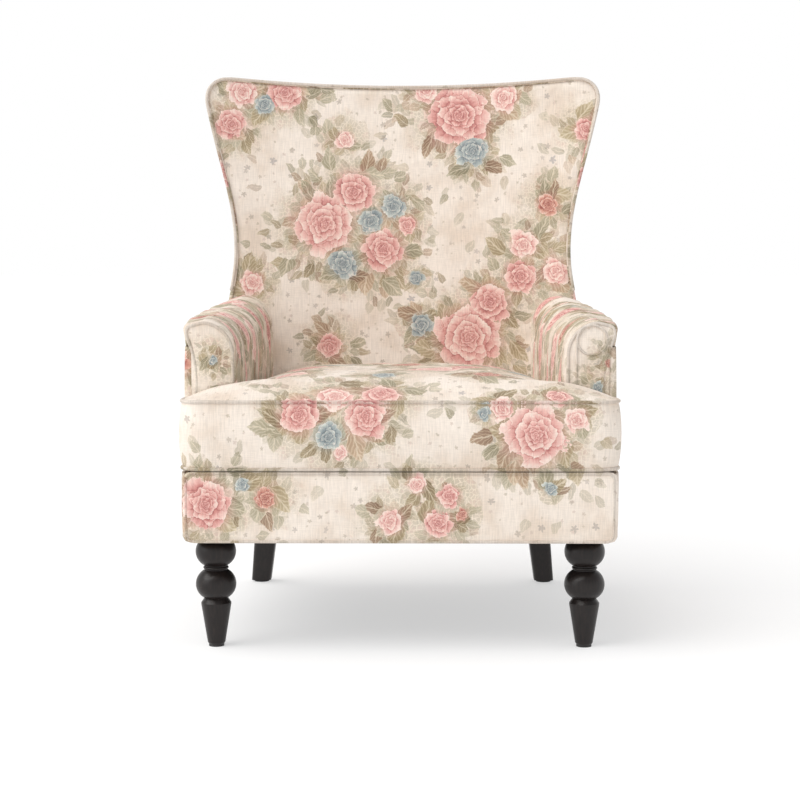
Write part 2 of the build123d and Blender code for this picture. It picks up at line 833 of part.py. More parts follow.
def zip_tape():
    with BuildPart() as tape:
        with Locations((0, at(ZIP_BACK + SKIN_GAP), ZIP_Z)):
            Box(2 * ZIP_HALF, TAPE_T, TAPE_H, align=(Align.CENTER, Align.MIN, Align.CENTER))
    return tape.part


def zip_coil():
    """The closed coil, with a stop block at each end."""
    coil_y = ZIP_BACK + SKIN_GAP + TAPE_T
    stop = (4.0, COIL_T + 1.5, COIL_H + 4)
    with BuildPart() as coil:
        with Locations((0, at(coil_y), ZIP_Z)):
            Box(2 * ZIP_HALF - 10, COIL_T, COIL_H, align=(Align.CENTER, Align.MIN, Align.CENTER))
        with Locations(*[(s * (ZIP_HALF - 7), at(coil_y), ZIP_Z) for s in SIDES.values()]):
            Box(*stop, align=(Align.CENTER, Align.MIN, Align.CENTER))
    return coil.part


SLIDER_L, SLIDER_H, SLIDER_T = 12.0, 10.0, 4.4
SLIDER_X = -ZIP_HALF + 18.0
PIN_R, PIN_HOLE_R = 0.8, 0.85
PIN_OUT = 6.4  # from the tape to the pull's pin
PULL_L, PULL_W, PULL_T = 14.0, 5.0, 1.2


def zip_slider():
    """The slider, with a groove over the coil and two ears for the pull's pin."""
    y = ZIP_BACK + SKIN_GAP + TAPE_T + SKIN_GAP
    ear_x = PULL_W / 2 + 1.2
    with BuildPart() as slider:
        with Locations((SLIDER_X, at(y), ZIP_Z)):
            Box(SLIDER_L, SLIDER_T, SLIDER_H, align=(Align.CENTER, Align.MIN, Align.CENTER))
        with Locations((SLIDER_X, at(y - 1), ZIP_Z)):
            groove = (SLIDER_L + 2, COIL_T + 1.2, COIL_H + 0.8)
            Box(*groove, align=(Align.CENTER, Align.MIN, Align.CENTER), mode=Mode.SUBTRACT)
        for s in (-1, 1):
            with Locations((SLIDER_X + s * ear_x, at(y + SLIDER_T - 0.5), ZIP_Z)):
                Box(1.6, 3.6, 3.6, align=(Align.CENTER, Align.MIN, Align.CENTER))
        with Locations((SLIDER_X, at(y + PIN_OUT), ZIP_Z)):
            Cylinder(PIN_HOLE_R, 14, rotation=(0, 90, 0), mode=Mode.SUBTRACT)
    return slider.part


def zip_pull():
    """The pull tab, hanging from its pin."""
    pin_y = at(ZIP_BACK + 2 * SKIN_GAP + TAPE_T + PIN_OUT)
    with BuildPart() as pull:
        with Locations((SLIDER_X, pin_y, ZIP_Z)):
            Cylinder(PIN_R, PULL_W + 5.6, rotation=(0, 90, 0))
            Cylinder(PIN_R + 0.7, PULL_W - 0.6, rotation=(0, 90, 0))
        with Locations((SLIDER_X, pin_y, ZIP_Z)):
            Box(PULL_W - 0.6, PULL_T, PULL_L, align=(Align.CENTER, Align.CENTER, Align.MAX))
    return pull.part


def cushion_welt(z):
    """The piping round the cushion, at the top or the bottom of its band."""
    with BuildSketch(Plane.XY.offset(z)) as outline:
        add(cushion_plan(-1.0))
    return tube(outline.sketch.wire(), WELT_R)


# ================================================================ legs
FRONT_PROFILE = {
    "foot_r": 15.0,
    "collar_r": 25.5,
    "collar_z": 75.0,
    "neck_r": 19.0,
    "ball_r": 34.3,
    "lower_ball_z": 107.0,
    "upper_ball_z": 163.0,
    "ball_half": 24.0,
    "top_r": 24.0,
}


def front_leg(side):
    """A turned leg: tapered foot, collar, two flattened balls with a beaded neck between."""
    p = FRONT_PROFILE
    lower, upper, half = p["lower_ball_z"], p["upper_ball_z"], p["ball_half"]
    neck, ball = p["neck_r"], p["ball_r"]
    with BuildPart() as leg:
        with BuildSketch(Plane.XZ):
            with BuildLine():
                Line((0, GLIDE_H), (p["foot_r"] - 2, GLIDE_H))
                Line((p["foot_r"] - 2, GLIDE_H), (p["foot_r"], GLIDE_H + 2.5))
                Line((p["foot_r"], GLIDE_H + 2.5), (p["collar_r"], p["collar_z"] - 3))
                Line((p["collar_r"], p["collar_z"] - 3), (p["collar_r"], p["collar_z"]))
                Line((p["collar_r"], p["collar_z"]), (neck + 1, lower - half))
                ThreePointArc((neck + 1, lower - half), (ball, lower), (neck + 1, lower + half))
                Line((neck + 1, lower + half), (neck, lower + half))
                mid = (lower + upper) / 2
                Line((neck, lower + half), (neck, mid - 2.5))
                ThreePointArc((neck, mid - 2.5), (neck + 2.5, mid), (neck, mid + 2.5))
                Line((neck, mid + 2.5), (neck, upper - half))
                Line((neck, upper - half), (neck + 1, upper - half))
                ThreePointArc((neck + 1, upper - half), (ball, upper), (p["top_r"], upper + half - 3))
                Line((p["top_r"], upper + half - 3), (p["top_r"], LEG_TOP))
                Line((p["top_r"], LEG_TOP), (0, LEG_TOP))
                Line((0, LEG_TOP), (0, GLIDE_H))
            make_face()
        revolve(axis=Axis.Z)
        with Locations((0, 0, LEG_TOP)):
            Cylinder(BOLT_HOLE_R, 2 * BOLT_DOWN, mode=Mode.SUBTRACT)
        with Locations((0, 0, GLIDE_H)):
            Cylinder(1.6, 30, mode=Mode.SUBTRACT)
    return leg.part.moved(Location((side * FRONT_LEG_X, at(FRONT_LEG_Y), 0)))


def rear_leg(side):
    """A tapered leg that rakes back and a little outward."""
    ends = (
        (REAR_LEG_FOOT, GLIDE_H, REAR_FOOT_SIDE),
        (REAR_LEG_TOP, LEG_TOP, REAR_TOP_SIDE),
    )
    with BuildPart() as leg:
        for (x, y), z, width in ends:
            with BuildSketch(Plane.XY.offset(z)):
                with Locations((side * x, at(y))):
                    RectangleRounded(width, width, REAR_LEG_R)
        loft()
        with Locations((side * REAR_LEG_TOP[0], at(REAR_LEG_TOP[1]), LEG_TOP)):
            Cylinder(BOLT_HOLE_R, 2 * BOLT_DOWN, mode=Mode.SUBTRACT)
        with Locations((side * REAR_LEG_FOOT[0], at(REAR_LEG_FOOT[1]), GLIDE_H)):
            Cylinder(1.6, 30, mode=Mode.SUBTRACT)
    return leg.part


def leg_spots():
    """Where each leg's bolt stands, and where its foot is."""
    spots = []
    for s in SIDES.values():
        front = (s * FRONT_LEG_X, at(FRONT_LEG_Y))
        spots.append((front, front, FRONT_PROFILE["foot_r"] - 2))
        top = (s * REAR_LEG_TOP[0], at(REAR_LEG_TOP[1]))
        spots.append((top, (s * REAR_LEG_FOOT[0], at(REAR_LEG_FOOT[1])), 15.0))
    return spots


def leg_bolts():
    """Hanger bolts: wood thread down in the leg, machine thread up through the plate."""
    with BuildPart() as bolts:
        for (x, y), _, _ in leg_spots():
            with Locations((x, y, LEG_TOP - BOLT_DOWN + 2)):
                length = BOLT_DOWN + BOLT_UP - 2
                Cylinder(BOLT_R, length, align=(Align.CENTER, Align.CENTER, Align.MIN))
    return bolts.part


def leg_plates():
    """Steel plates between the legs and the frame, with a hole for each screw."""
    holes = [(a * PLATE_HOLE_AT, b * PLATE_HOLE_AT) for a in (-1, 1) for b in (-1, 1)]
    with BuildPart() as plates:
        for (x, y), _, _ in leg_spots():
            with BuildSketch(Plane.XY.offset(LEG_TOP)):
                with Locations((x, y)):
                    RectangleRounded(PLATE_SIDE, PLATE_SIDE, 5)
                    Circle(BOLT_HOLE_R, mode=Mode.SUBTRACT)
                with Locations(*[(x + a, y + b) for a, b in holes]):
                    Circle(2.2, mode=Mode.SUBTRACT)
            extrude(amount=FRAME_BOTTOM - LEG_TOP - 0.1)
    return plates.part


def leg_glides():
    """A nylon glide nailed under each leg."""
    with BuildPart() as glides:
        for _, (x, y), radius in leg_spots():
            with Locations((x, y, 0)):
                Cylinder(radius, GLIDE_H, align=(Align.CENTER, Align.CENTER, Align.MIN))
            with Locations((x, y, GLIDE_H - 1)):
                Cylinder(1.5, 14, align=(Align.CENTER, Align.CENTER, Align.MIN))
    return glides.part


# ================================================================ build all
def main():
    os.makedirs("parts", exist_ok=True)
    single = {
        "front_seat_rail": front_seat_rail,
        "rear_seat_rail": rear_seat_rail,
        "corner_blocks": corner_blocks,
        "back_top_rail": back_top_rail,
        "back_liner_rail": back_liner_rail,
        "back_stile": back_stile,
        "seat_springs": seat_springs,
        "spring_clips": spring_clips,
        "back_webbing": back_webbing,
        "deck_pad": deck_pad,
        "spring_cover": spring_cover,
        "dust_cover": dust_cover,
        "inside_back_pad": inside_back_pad,
        "back_tuck_panel": back_tuck_panel,
        "back_top_panel": back_top_panel,
        "outside_back_panel": outside_back_panel,
        "back_welt": back_welt,
        "front_border": front_border,
        "base_welt": base_welt,
        "cushion_core": cushion_core,
        "cushion_top_cover": cushion_top_cover,
        "cushion_bottom_cover": cushion_bottom_cover,
        "cushion_boxing": cushion_boxing,
        "cushion_zip_boxing": cushion_zip_boxing,
        "zip_tape": zip_tape,
        "zip_coil": zip_coil,
        "zip_slider": zip_slider,
        "zip_pull": zip_pull,
        "leg_bolts": leg_bolts,
        "leg_plates": leg_plates,
        "leg_glides": leg_glides,
    }
    paired = {
        "seat_rail": side_seat_rail,
        "back_post": back_post,
        "back_side_panel": back_side_panel,
        "arm_pad": arm_pad,
        "arm_rail": arm_rail,
        "arm_facing": arm_facing,
        "arm_post": arm_post,
        "arm_front_panel": arm_front_panel,
        "arm_welt": arm_welt,
        "outside_arm_panel": outside_arm_panel,
        "front_leg": front_leg,
        "rear_leg": rear_leg,
    }
    for name, make in single.items():
        save(make(), name)
    for name, make in paired.items():
        for side, sign in SIDES.items():
            save(make(sign), f"{side}_{name}")
    save(cushion_welt(RIM_HIGH), "cushion_top_welt")
    save(cushion_welt(CUSHION_BOTTOM + WELT_R + 0.7), "cushion_bottom_welt")


main()
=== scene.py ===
"""The looks of the upholstered armchair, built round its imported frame. Metres, in the row frame."""

import json
import math

import bmesh
import bpy
import numpy as np
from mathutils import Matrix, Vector


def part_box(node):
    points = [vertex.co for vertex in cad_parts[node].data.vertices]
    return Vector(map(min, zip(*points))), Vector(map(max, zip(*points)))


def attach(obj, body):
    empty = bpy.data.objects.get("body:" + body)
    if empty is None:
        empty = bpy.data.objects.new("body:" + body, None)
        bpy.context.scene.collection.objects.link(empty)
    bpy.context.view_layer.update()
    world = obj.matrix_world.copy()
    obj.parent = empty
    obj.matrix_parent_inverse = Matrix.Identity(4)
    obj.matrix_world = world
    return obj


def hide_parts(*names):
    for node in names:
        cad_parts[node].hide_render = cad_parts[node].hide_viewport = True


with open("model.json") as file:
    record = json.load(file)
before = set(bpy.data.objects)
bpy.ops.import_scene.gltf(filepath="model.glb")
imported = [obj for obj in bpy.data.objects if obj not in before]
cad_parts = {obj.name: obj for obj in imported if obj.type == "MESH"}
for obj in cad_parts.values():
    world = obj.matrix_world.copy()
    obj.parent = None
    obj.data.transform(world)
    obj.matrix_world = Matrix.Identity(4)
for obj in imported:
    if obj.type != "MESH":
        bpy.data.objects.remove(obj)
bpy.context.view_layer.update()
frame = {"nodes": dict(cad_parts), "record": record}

# ---------------------------------------------------------------- the frame's own dimensions
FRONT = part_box("cushion_top_welt")[0].y - 0.001  # every "y" below is a distance behind this
RAKE = math.tan(math.radians(10.0))
BACK_RADIUS = 1.55
BACK_REF_Z, BACK_REF_Y = 0.302, 0.561
PAD_T, BACK_T = 0.044, 0.100
PAD_LOW = 0.400
ARM_START, ARM_REAR = 0.102, 0.560
ARM_IN_FRONT, ARM_IN_BACK = 0.281, 0.256
ARM_TOP_FRONT, ARM_TOP_BACK = 0.554, 0.585
ARM_LIP, ROLL_OUT = 0.046, 0.004
ARM_FOOT = 0.290
ROLL_DROP, ROLL_SHOULDER, ROLL_TOP_IN, ROLL_EDGE = 0.062, 0.019, 0.056, 0.010  # the arm's rounded top
SIDE_HALF, SIDE_RADIUS, SIDE_MIDDLE = 0.368, 2.440, 0.170  # the bow of the outside arms
PANEL_LOW, BORDER_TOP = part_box("front_border")[0].z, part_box("front_border")[1].z
CUSHION_LOW, CUSHION_EDGE, CUSHION_RISE = 0.305, 0.423, 0.033
BASE_HALF = 0.361


def back_y(z):
    return BACK_REF_Y + (z - BACK_REF_Z) * RAKE


def back_point(x, z, depth=0.0):
    """The point at x and z that lies depth behind the inside back's face."""
    return (x, FRONT + back_y(z) - BACK_RADIUS + math.sqrt((BACK_RADIUS + depth) ** 2 - x * x), z)


def side_x(y):
    return SIDE_HALF - SIDE_RADIUS + math.sqrt(SIDE_RADIUS**2 - (y - SIDE_MIDDLE) ** 2)


def arm_share(y):
    return (y - ARM_START) / (ARM_REAR - ARM_START)


def arm_inner_x(y):
    return ARM_IN_FRONT + (ARM_IN_BACK - ARM_IN_FRONT) * arm_share(y)


def arm_top_z(y):
    return ARM_TOP_FRONT + (ARM_TOP_BACK - ARM_TOP_FRONT) * arm_share(y)


def smoothstep(x, low, high):
    t = np.clip((x - low) / (high - low), 0, 1)
    return t * t * (3 - 2 * t)


# ---------------------------------------------------------------- camera, lights, floor
def make_camera():
    data = bpy.data.cameras.new("camera")
    data.lens, data.sensor_width = 77.98, 36.0
    cam = bpy.data.objects.new("camera", data)
    cam.location = (0.024, FRONT - 2.851, 0.659)
    cam.rotation_euler = (math.radians(90 - 4.69), 0, 0.0083)
    bpy.context.scene.collection.objects.link(cam)
    bpy.context.scene.camera = cam


def add_light(name, kind, way, energy, colour):
    """A light that shines the given way. Returns its object."""
    data = bpy.data.lights.new(name, kind)
    data.energy, data.color = energy, colour
    light = bpy.data.objects.new(name, data)
    light.rotation_euler = Vector(way).to_track_quat("-Z", "Y").to_euler()
    bpy.context.scene.collection.objects.link(light)
    return light


def make_stage():
    """A pale floor out to the horizon, a soft sun from the front left, and a sky brightest low down."""
    mesh = bpy.data.meshes.new("floor")
    far = 60
    mesh.from_pydata([(-far, -far, 0), (far, -far, 0), (far, far, 0), (-far, far, 0)], [], [(0, 1, 2, 3)])
    floor = bpy.data.objects.new("floor", mesh)
    bpy.context.scene.collection.objects.link(floor)
    material, _, shader = new_material("floor")
    shader.inputs["Base Color"].default_value = (0.50, 0.50, 0.50, 1)
    shader.inputs["Emission Color"].default_value = (1, 1, 1, 1)
    shader.inputs["Emission Strength"].default_value = 0.50
    shader.inputs["Roughness"].default_value = 1.0
    shader.inputs["Specular IOR Level"].default_value = 0.0
    mesh.materials.append(material)

    world = bpy.data.worlds.new("studio")
    bpy.context.scene.world = world
    world.use_nodes = True
    g, background = Graph(world.node_tree), world.node_tree.nodes["Background"]
    rise = g.node("ShaderNodeMapRange")
    g.feed(rise.inputs[0], g.split(g.node("ShaderNodeTexCoord").outputs["Generated"])[2])
    sky = g.ramp(rise.outputs[0], [(0.22, (1, 1, 1)), (0.60, (0.50, 0.50, 0.51))])
    g.feed(background.inputs["Color"], sky)
    background.inputs["Strength"].default_value = 1.0

    key = add_light("key", "SUN", (0.50, 0.24, -0.83), 2.0, (1, 0.985, 0.965))
    key.data.angle = math.radians(55)
    fill = add_light("fill", "AREA", (2.8, 1.6, -0.8), 11, (1, 0.99, 0.98))
    fill.data.shape, fill.data.size = "DISK", 2.2
    fill.location = (-2.6, -1.6, 1.3)
    bpy.context.scene.view_settings.view_transform = "Standard"


# ---------------------------------------------------------------- curves in a plane
def rounded_loop(corners, radii, step):
    """A closed polygon with rounded corners, as points about a step apart."""
    points, count = [], len(corners)
    for i in range(count):
        before, corner, after = (np.array(corners[(i + k) % count], float) for k in (-1, 0, 1))
        to_a, to_b = before - corner, after - corner
        to_a, to_b = to_a / np.linalg.norm(to_a), to_b / np.linalg.norm(to_b)
        half = math.acos(np.clip(to_a @ to_b, -1, 1)) / 2
        if radii[i] < 1e-6:
            points.append(corner)
            continue
        cut = radii[i] / math.tan(half)
        middle = corner + (to_a + to_b) / np.linalg.norm(to_a + to_b) * radii[i] / math.sin(half)
        start, end = corner + to_a * cut - middle, corner + to_b * cut - middle
        a0, a1 = math.atan2(start[1], start[0]), math.atan2(end[1], end[0])
        turn = (a1 - a0 + math.pi) % (2 * math.pi) - math.pi
        for t in np.linspace(0, 1, 9):
            a = a0 + turn * t
            points.append(middle + radii[i] * np.array([math.cos(a), math.sin(a)]))
    return resample(np.array(points), step, closed=True)


def resample(points, step, closed=False):
    """Points evenly spaced along a line, about a step apart. A closed line ends where it starts."""
    points = np.asarray(points, float)
    if closed:
        points = np.vstack([points, points[:1]])
    points = points[np.r_[True, np.linalg.norm(np.diff(points, axis=0), axis=1) > 1e-7]]
    run = lengths(points)
    count = max(2, int(round(run[-1] / step)))
    at = np.linspace(0, run[-1], count + 1)
    return np.stack([np.interp(at, run, points[:, k]) for k in range(points.shape[1])], axis=1)


def lengths(points):
    """How far along a line each of its points is."""
    return np.r_[0, np.cumsum(np.linalg.norm(np.diff(points, axis=0), axis=1))]


def arc_through(a, b, c, count):
    """Points on the circle arc from a through b to c."""
    a, b, c = (np.array(p, float) for p in (a, b, c))
    m = 2 * np.array([b - a, c - a])
    rhs = np.array([b @ b - a @ a, c @ c - a @ a])
    middle = np.linalg.solve(m, rhs)
    radius = np.linalg.norm(a - middle)
    angles = [math.atan2(*(p - middle)[::-1]) for p in (a, b, c)]
    for k in (1, 2):
        angles[k] = angles[k - 1] + (angles[k] - angles[k - 1] + math.pi) % (2 * math.pi) - math.pi
    turns = np.linspace(angles[0], angles[2], count)
    return [middle + radius * np.array([math.cos(t), math.sin(t)]) for t in turns]


def outward(line):
    """The unit normals on the right of a line in a plane."""
    along = np.gradient(line, axis=0)
    normal = np.stack([along[:, 1], -along[:, 0]], axis=1)
    return normal / np.maximum(np.linalg.norm(normal, axis=1, keepdims=True), 1e-9)


def beside(run, v):
    """UVs along a seam: u runs with it, and v is the same for all."""
    return np.stack([run, np.full(len(run), v)], axis=1)


# The back's side edge as a cubic through these heights and half widths.
EDGE_Z = np.array([0.520, 0.640, 0.777, 0.871, 1.020])
EDGE_X = np.array([0.345, 0.330, 0.341, 0.365, 0.400])
EDGE_SLOPES = (0.0, math.tan(math.radians(12.0)))
TOP_MIDDLE, TOP_RISE, TOP_HALF = 1.001, 0.019, 0.400
CORNER_R = 0.038


def cubic_slopes(z, x, ends):
    """The slopes at a clamped cubic spline's knots."""
    n = len(z)
    m, rhs = np.eye(n), np.zeros(n)
    rhs[0], rhs[-1] = ends
    for i in range(1, n - 1):
        h0, h1 = z[i] - z[i - 1], z[i + 1] - z[i]
        m[i, i - 1], m[i, i], m[i, i + 1] = 1 / h0, 2 * (1 / h0 + 1 / h1), 1 / h1
        rhs[i] = 3 * ((x[i] - x[i - 1]) / h0**2 + (x[i + 1] - x[i]) / h1**2)
    return np.linalg.solve(m, rhs)


SLOPES = cubic_slopes(EDGE_Z, EDGE_X, EDGE_SLOPES)


def edge_x(z):
    """Half width of the back at height z."""
    if z <= EDGE_Z[0]:
        return EDGE_X[0]
    i = min(int(np.searchsorted(EDGE_Z, z, side="right")) - 1, len(EDGE_Z) - 2)
    h = EDGE_Z[i + 1] - EDGE_Z[i]
    t = (z - EDGE_Z[i]) / h
    return (
        (2 * t**3 - 3 * t**2 + 1) * EDGE_X[i]
        + (t**3 - 2 * t**2 + t) * h * SLOPES[i]
        + (3 * t**2 - 2 * t**3) * EDGE_X[i + 1]
        + (t**3 - t**2) * h * SLOPES[i + 1]
    )


def top_z(x):
    return TOP_MIDDLE + TOP_RISE * (x / TOP_HALF) ** 2


def half_outline(inset, low):
    """The back's outline from its lower right corner up and over to the top's middle."""
    r = CORNER_R - inset / 2
    cx, cz = 0.35, 0.97
    for _ in range(60):
        ta = math.atan((top_z(cx + 0.001) - top_z(cx - 0.001)) / 0.002)
        tx = cx - r * math.sin(ta)
        sa = math.atan((edge_x(cz + 0.001) - edge_x(cz - 0.001)) / 0.002)
        sz = cz - r * math.sin(sa)
        cz = top_z(tx) - inset - r * math.cos(ta)
        cx = edge_x(sz) - inset - r * math.cos(sa)
    points = [(edge_x(z) - inset, z) for z in np.linspace(low, sz, 90)]
    points += [(cx + r * math.cos(a), cz + r * math.sin(a)) for a in np.linspace(-sa, math.pi / 2 + ta, 24)[1:]]
    points += [(x, top_z(x) - inset) for x in np.linspace(tx, 0, 40)[1:]]
    return points


def back_loop(inset, low, step):
    """The closed outline, from the bottom's middle round by the right side, as seen from the front."""
    right = resample(np.array([(0.0, low)] + half_outline(inset, low)), step)
    left = right[::-1][1:] * [-1, 1]
    return np.vstack([right, left])


# ---------------------------------------------------------------- meshes
def add_grid(name, rows, uvs, material, flip=False, body="chair"):
    """A smooth piece from rows of points and UVs. Vertices that lie on each other are merged."""
    verts, uvs = np.asarray(rows, float), np.asarray(uvs, float).reshape(-1, 2)
    columns = verts.shape[1]
    faces = []
    for r in range(verts.shape[0] - 1):
        for a in range(r * columns, (r + 1) * columns - 1):
            quad = (a, a + 1, a + columns + 1, a + columns)
            faces.append(quad[::-1] if flip else quad)
    mesh = bpy.data.meshes.new(name)
    mesh.from_pydata(verts.reshape(-1, 3).tolist(), [], faces)
    layer = mesh.uv_layers.new(name="print")
    index = np.zeros(len(mesh.loops), int)
    mesh.loops.foreach_get("vertex_index", index)
    layer.data.foreach_set("uv", uvs[index].ravel())
    b = bmesh.new()
    b.from_mesh(mesh)
    bmesh.ops.remove_doubles(b, verts=b.verts, dist=2e-5)
    bmesh.ops.dissolve_degenerate(b, edges=b.edges, dist=1e-6)
    b.to_mesh(mesh)
    b.free()
    for p in mesh.polygons:
        p.use_smooth = True
    piece = bpy.data.objects.new(name, mesh)
    bpy.context.scene.collection.objects.link(piece)
    mesh.materials.append(material)
    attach(piece, body)
    return piece


def vertices(piece):
    """The piece's vertices, one row each."""
    return np.array([v.co[:] for v in piece.data.vertices])


def inward(loop, spine, t):
    """The ring between a spine, where t is 0, and a loop, where t is 1."""
    core = np.array([spine(p) for p in loop])
    return core + (loop - core) * t


def ridge(low, high, x=0.0):
    """A spine: the nearest point to p on the upright line at x, from low to high."""
    return lambda p: (x, min(max(p[1], low), high))


def tube(name, path, radius, material, sides=10):
    """Piping along a closed or open path."""
    path = np.array(path, float)
    closed = np.linalg.norm(path[0] - path[-1]) < 1e-9
    along = np.gradient(path, axis=0)
    if closed:
        along[0] = along[-1] = path[1] - path[-2]
    along /= np.linalg.norm(along, axis=1, keepdims=True)
    out = np.cross(along, np.array([0.0, 1.0, 0.0]))
    out /= np.linalg.norm(out, axis=1, keepdims=True)
    up = np.cross(out, along)
    run = lengths(path)
    rows, uvs = [], []
    for k in range(sides + 1):
        a = 2 * math.pi * k / sides
        rows.append(path + radius * (math.cos(a) * out + math.sin(a) * up))
        uvs.append(beside(run, radius * a))
    piece = add_grid(name, rows, uvs, material)
    b = bmesh.new()
    b.from_mesh(piece.data)
    bmesh.ops.remove_doubles(b, verts=b.verts, dist=1e-6)
    bmesh.ops.holes_fill(b, edges=b.edges)
    bmesh.ops.recalc_face_normals(b, faces=b.faces)
    b.to_mesh(piece.data)
    b.free()
    return piece


def thicken(piece, depth):
    """Cloth or board thickness, grown to the inner side."""
    solid = piece.modifiers.new("thickness", "SOLIDIFY")
    solid.thickness, solid.offset = depth, -1.0
    apply_modifiers(piece)


def apply_modifiers(piece):
    graph = bpy.context.evaluated_depsgraph_get()
    mesh = bpy.data.meshes.new_from_object(piece.evaluated_get(graph))
    piece.modifiers.clear()
    piece.data = mesh


def subdivide(piece):
    smooth = piece.modifiers.new("smooth", "SUBSURF")
    smooth.levels = smooth.render_levels = 1
    smooth.boundary_smooth = "PRESERVE_CORNERS"
    apply_modifiers(piece)


def inflate(piece, held, pressure, cap, frames=20, stiff=15.0):
    """Lets the cover swell like stuffed cloth, each vertex by cap at most. held marks the sewn vertices."""
    rest = vertices(piece)
    group = piece.vertex_groups.new(name="seams")
    group.add([int(i) for i in np.nonzero(held)[0]], 1.0, "REPLACE")
    cloth = piece.modifiers.new("cloth", "CLOTH")
    s = cloth.settings
    s.quality, s.mass = 6, 0.3
    s.tension_stiffness = s.compression_stiffness = s.shear_stiffness = stiff
    s.bending_stiffness = 0.5
    s.use_pressure, s.uniform_pressure_force = True, pressure
    s.vertex_group_mass = "seams"
    s.effector_weights.gravity = 0
    cloth.collision_settings.use_collision = False
    cloth.point_cache.frame_start, cloth.point_cache.frame_end = 1, frames
    scene = bpy.context.scene
    for f in range(1, frames + 1):
        scene.frame_set(f)
    graph = bpy.context.evaluated_depsgraph_get()
    swollen = np.array([v.co[:] for v in piece.evaluated_get(graph).data.vertices])
    piece.modifiers.clear()
    piece.vertex_groups.clear()
    scene.frame_set(1)
    move = swollen - rest
    length = np.linalg.norm(move, axis=1, keepdims=True)
    cap = np.maximum(np.broadcast_to(cap, len(rest)), 1e-5)[:, None]
    move *= cap * np.tanh(length / cap) / np.maximum(length, 1e-9)
    piece.data.vertices.foreach_set("co", (rest + move).ravel())
    piece.data.update()


# ---------------------------------------------------------------- shader nodes
class Graph:
    """Short ways to add nodes to a tree."""

    def __init__(self, tree):
        self.tree = tree

    def node(self, kind, **settings):
        made = self.tree.nodes.new(kind)
        for key, value in settings.items():
            setattr(made, key, value)
        return made

    def feed(self, socket, value):
        if isinstance(value, bpy.types.NodeSocket):
            self.tree.links.new(value, socket)
        elif value is not None:
            socket.default_value = value

    def math(self, op, a, b=None, c=None):
        made = self.node("ShaderNodeMath", operation=op)
        for socket, value in zip(made.inputs, (a, b, c)):
            self.feed(socket, value)
        return made.outputs[0]

    def vector(self, op, a, b=None, scale=None):
        made = self.node("ShaderNodeVectorMath", operation=op)
        self.feed(made.inputs[0], a)
        self.feed(made.inputs[1], b)
        if scale is not None:
            self.feed(made.inputs["Scale"], scale)
        return made.outputs["Value" if op in ("DOT_PRODUCT", "DISTANCE", "LENGTH") else "Vector"]

    def add(self, a, b):
        return self.math("ADD", a, b)

    def sub(self, a, b):
        return self.math("SUBTRACT", a, b)

    def mul(self, a, b):
        return self.math("MULTIPLY", a, b)

    def muladd(self, a, b, c):
        return self.math("MULTIPLY_ADD", a, b, c)

    def vsub(self, a, b):
        return self.vector("SUBTRACT", a, b)

    def join(self, x, y, z=0.0):
        made = self.node("ShaderNodeCombineXYZ")
        for socket, value in zip(made.inputs, (x, y, z)):
            self.feed(socket, value)
        return made.outputs[0]

    def split(self, v):
        made = self.node("ShaderNodeSeparateXYZ")
        self.feed(made.inputs[0], v)
        return made.outputs

    def mix(self, share, a, b, kind="RGBA", blend="MIX"):
        made = self.node("ShaderNodeMix", data_type=kind)
        if kind == "RGBA":
            made.blend_type = blend
        slots = {"FLOAT": (0, 2, 3), "VECTOR": (0, 4, 5), "RGBA": (0, 6, 7)}[kind]
        for slot_at, value in zip(slots, (share, a, b)):
            if kind == "RGBA" and isinstance(value, tuple) and len(value) == 3:
                value = (*value, 1.0)
            self.feed(made.inputs[slot_at], value)
        return made.outputs[{"FLOAT": 0, "VECTOR": 1, "RGBA": 2}[kind]]

    def step(self, x, low, high, to_low=0.0, to_high=1.0):
        made = self.node("ShaderNodeMapRange", interpolation_type="SMOOTHSTEP")
        for socket, value in zip(made.inputs, (x, low, high, to_low, to_high)):
            self.feed(socket, value)
        return made.outputs[0]

    def ramp(self, x, stops):
        made = self.node("ShaderNodeValToRGB")
        band = made.color_ramp
        while len(band.elements) < len(stops):
            band.elements.new(0.5)
        for element, (place, colour) in zip(band.elements, stops):
            colour = srgb(colour) if isinstance(colour, str) else colour
            element.position, element.color = place, (*colour, 1.0)
        self.feed(made.inputs[0], x)
        return made.outputs[0]

    def noises(self, v, scale, detail=2.0, dims="3D"):
        made = self.node("ShaderNodeTexNoise", noise_dimensions=dims)
        self.feed(made.inputs["Vector"], v)
        made.inputs["Scale"].default_value = scale
        made.inputs["Detail"].default_value = detail
        return made.outputs

    def noise(self, *settings):
        return self.noises(*settings)[0]

    def cells(self, v, scale, dims="2D", feature="F1", scatter=1.0):
        made = self.node("ShaderNodeTexVoronoi", voronoi_dimensions=dims, feature=feature)
        self.feed(made.inputs["Vector"], v)
        made.inputs["Scale"].default_value = scale
        made.inputs["Randomness"].default_value = scatter
        return made.outputs

    def bump(self, shader, height, strength, distance):
        made = self.node("ShaderNodeBump")
        made.inputs["Strength"].default_value = strength
        made.inputs["Distance"].default_value = distance
        self.feed(made.inputs["Height"], height)
        self.feed(shader.inputs["Normal"], made.outputs[0])


def srgb(text):
    """A linear colour from a hex one."""
    parts = [int(text[i : i + 2], 16) / 255 for i in (0, 2, 4)]
    return tuple(c / 12.92 if c <= 0.04045 else ((c + 0.055) / 1.055) ** 2.4 for c in parts)


def new_material(name):
    """A material, its tree's Graph and its shader."""
    material = bpy.data.materials.new(name)
    material.use_nodes = True
    return material, Graph(material.node_tree), material.node_tree.nodes["Principled BSDF"]


PEONY, ROSE, BLUE, CORAL, BLUSH = range(5)
GROUND = "F1E6DA"
THREAD = 0.0011
THREADS = 2 * math.pi / THREAD


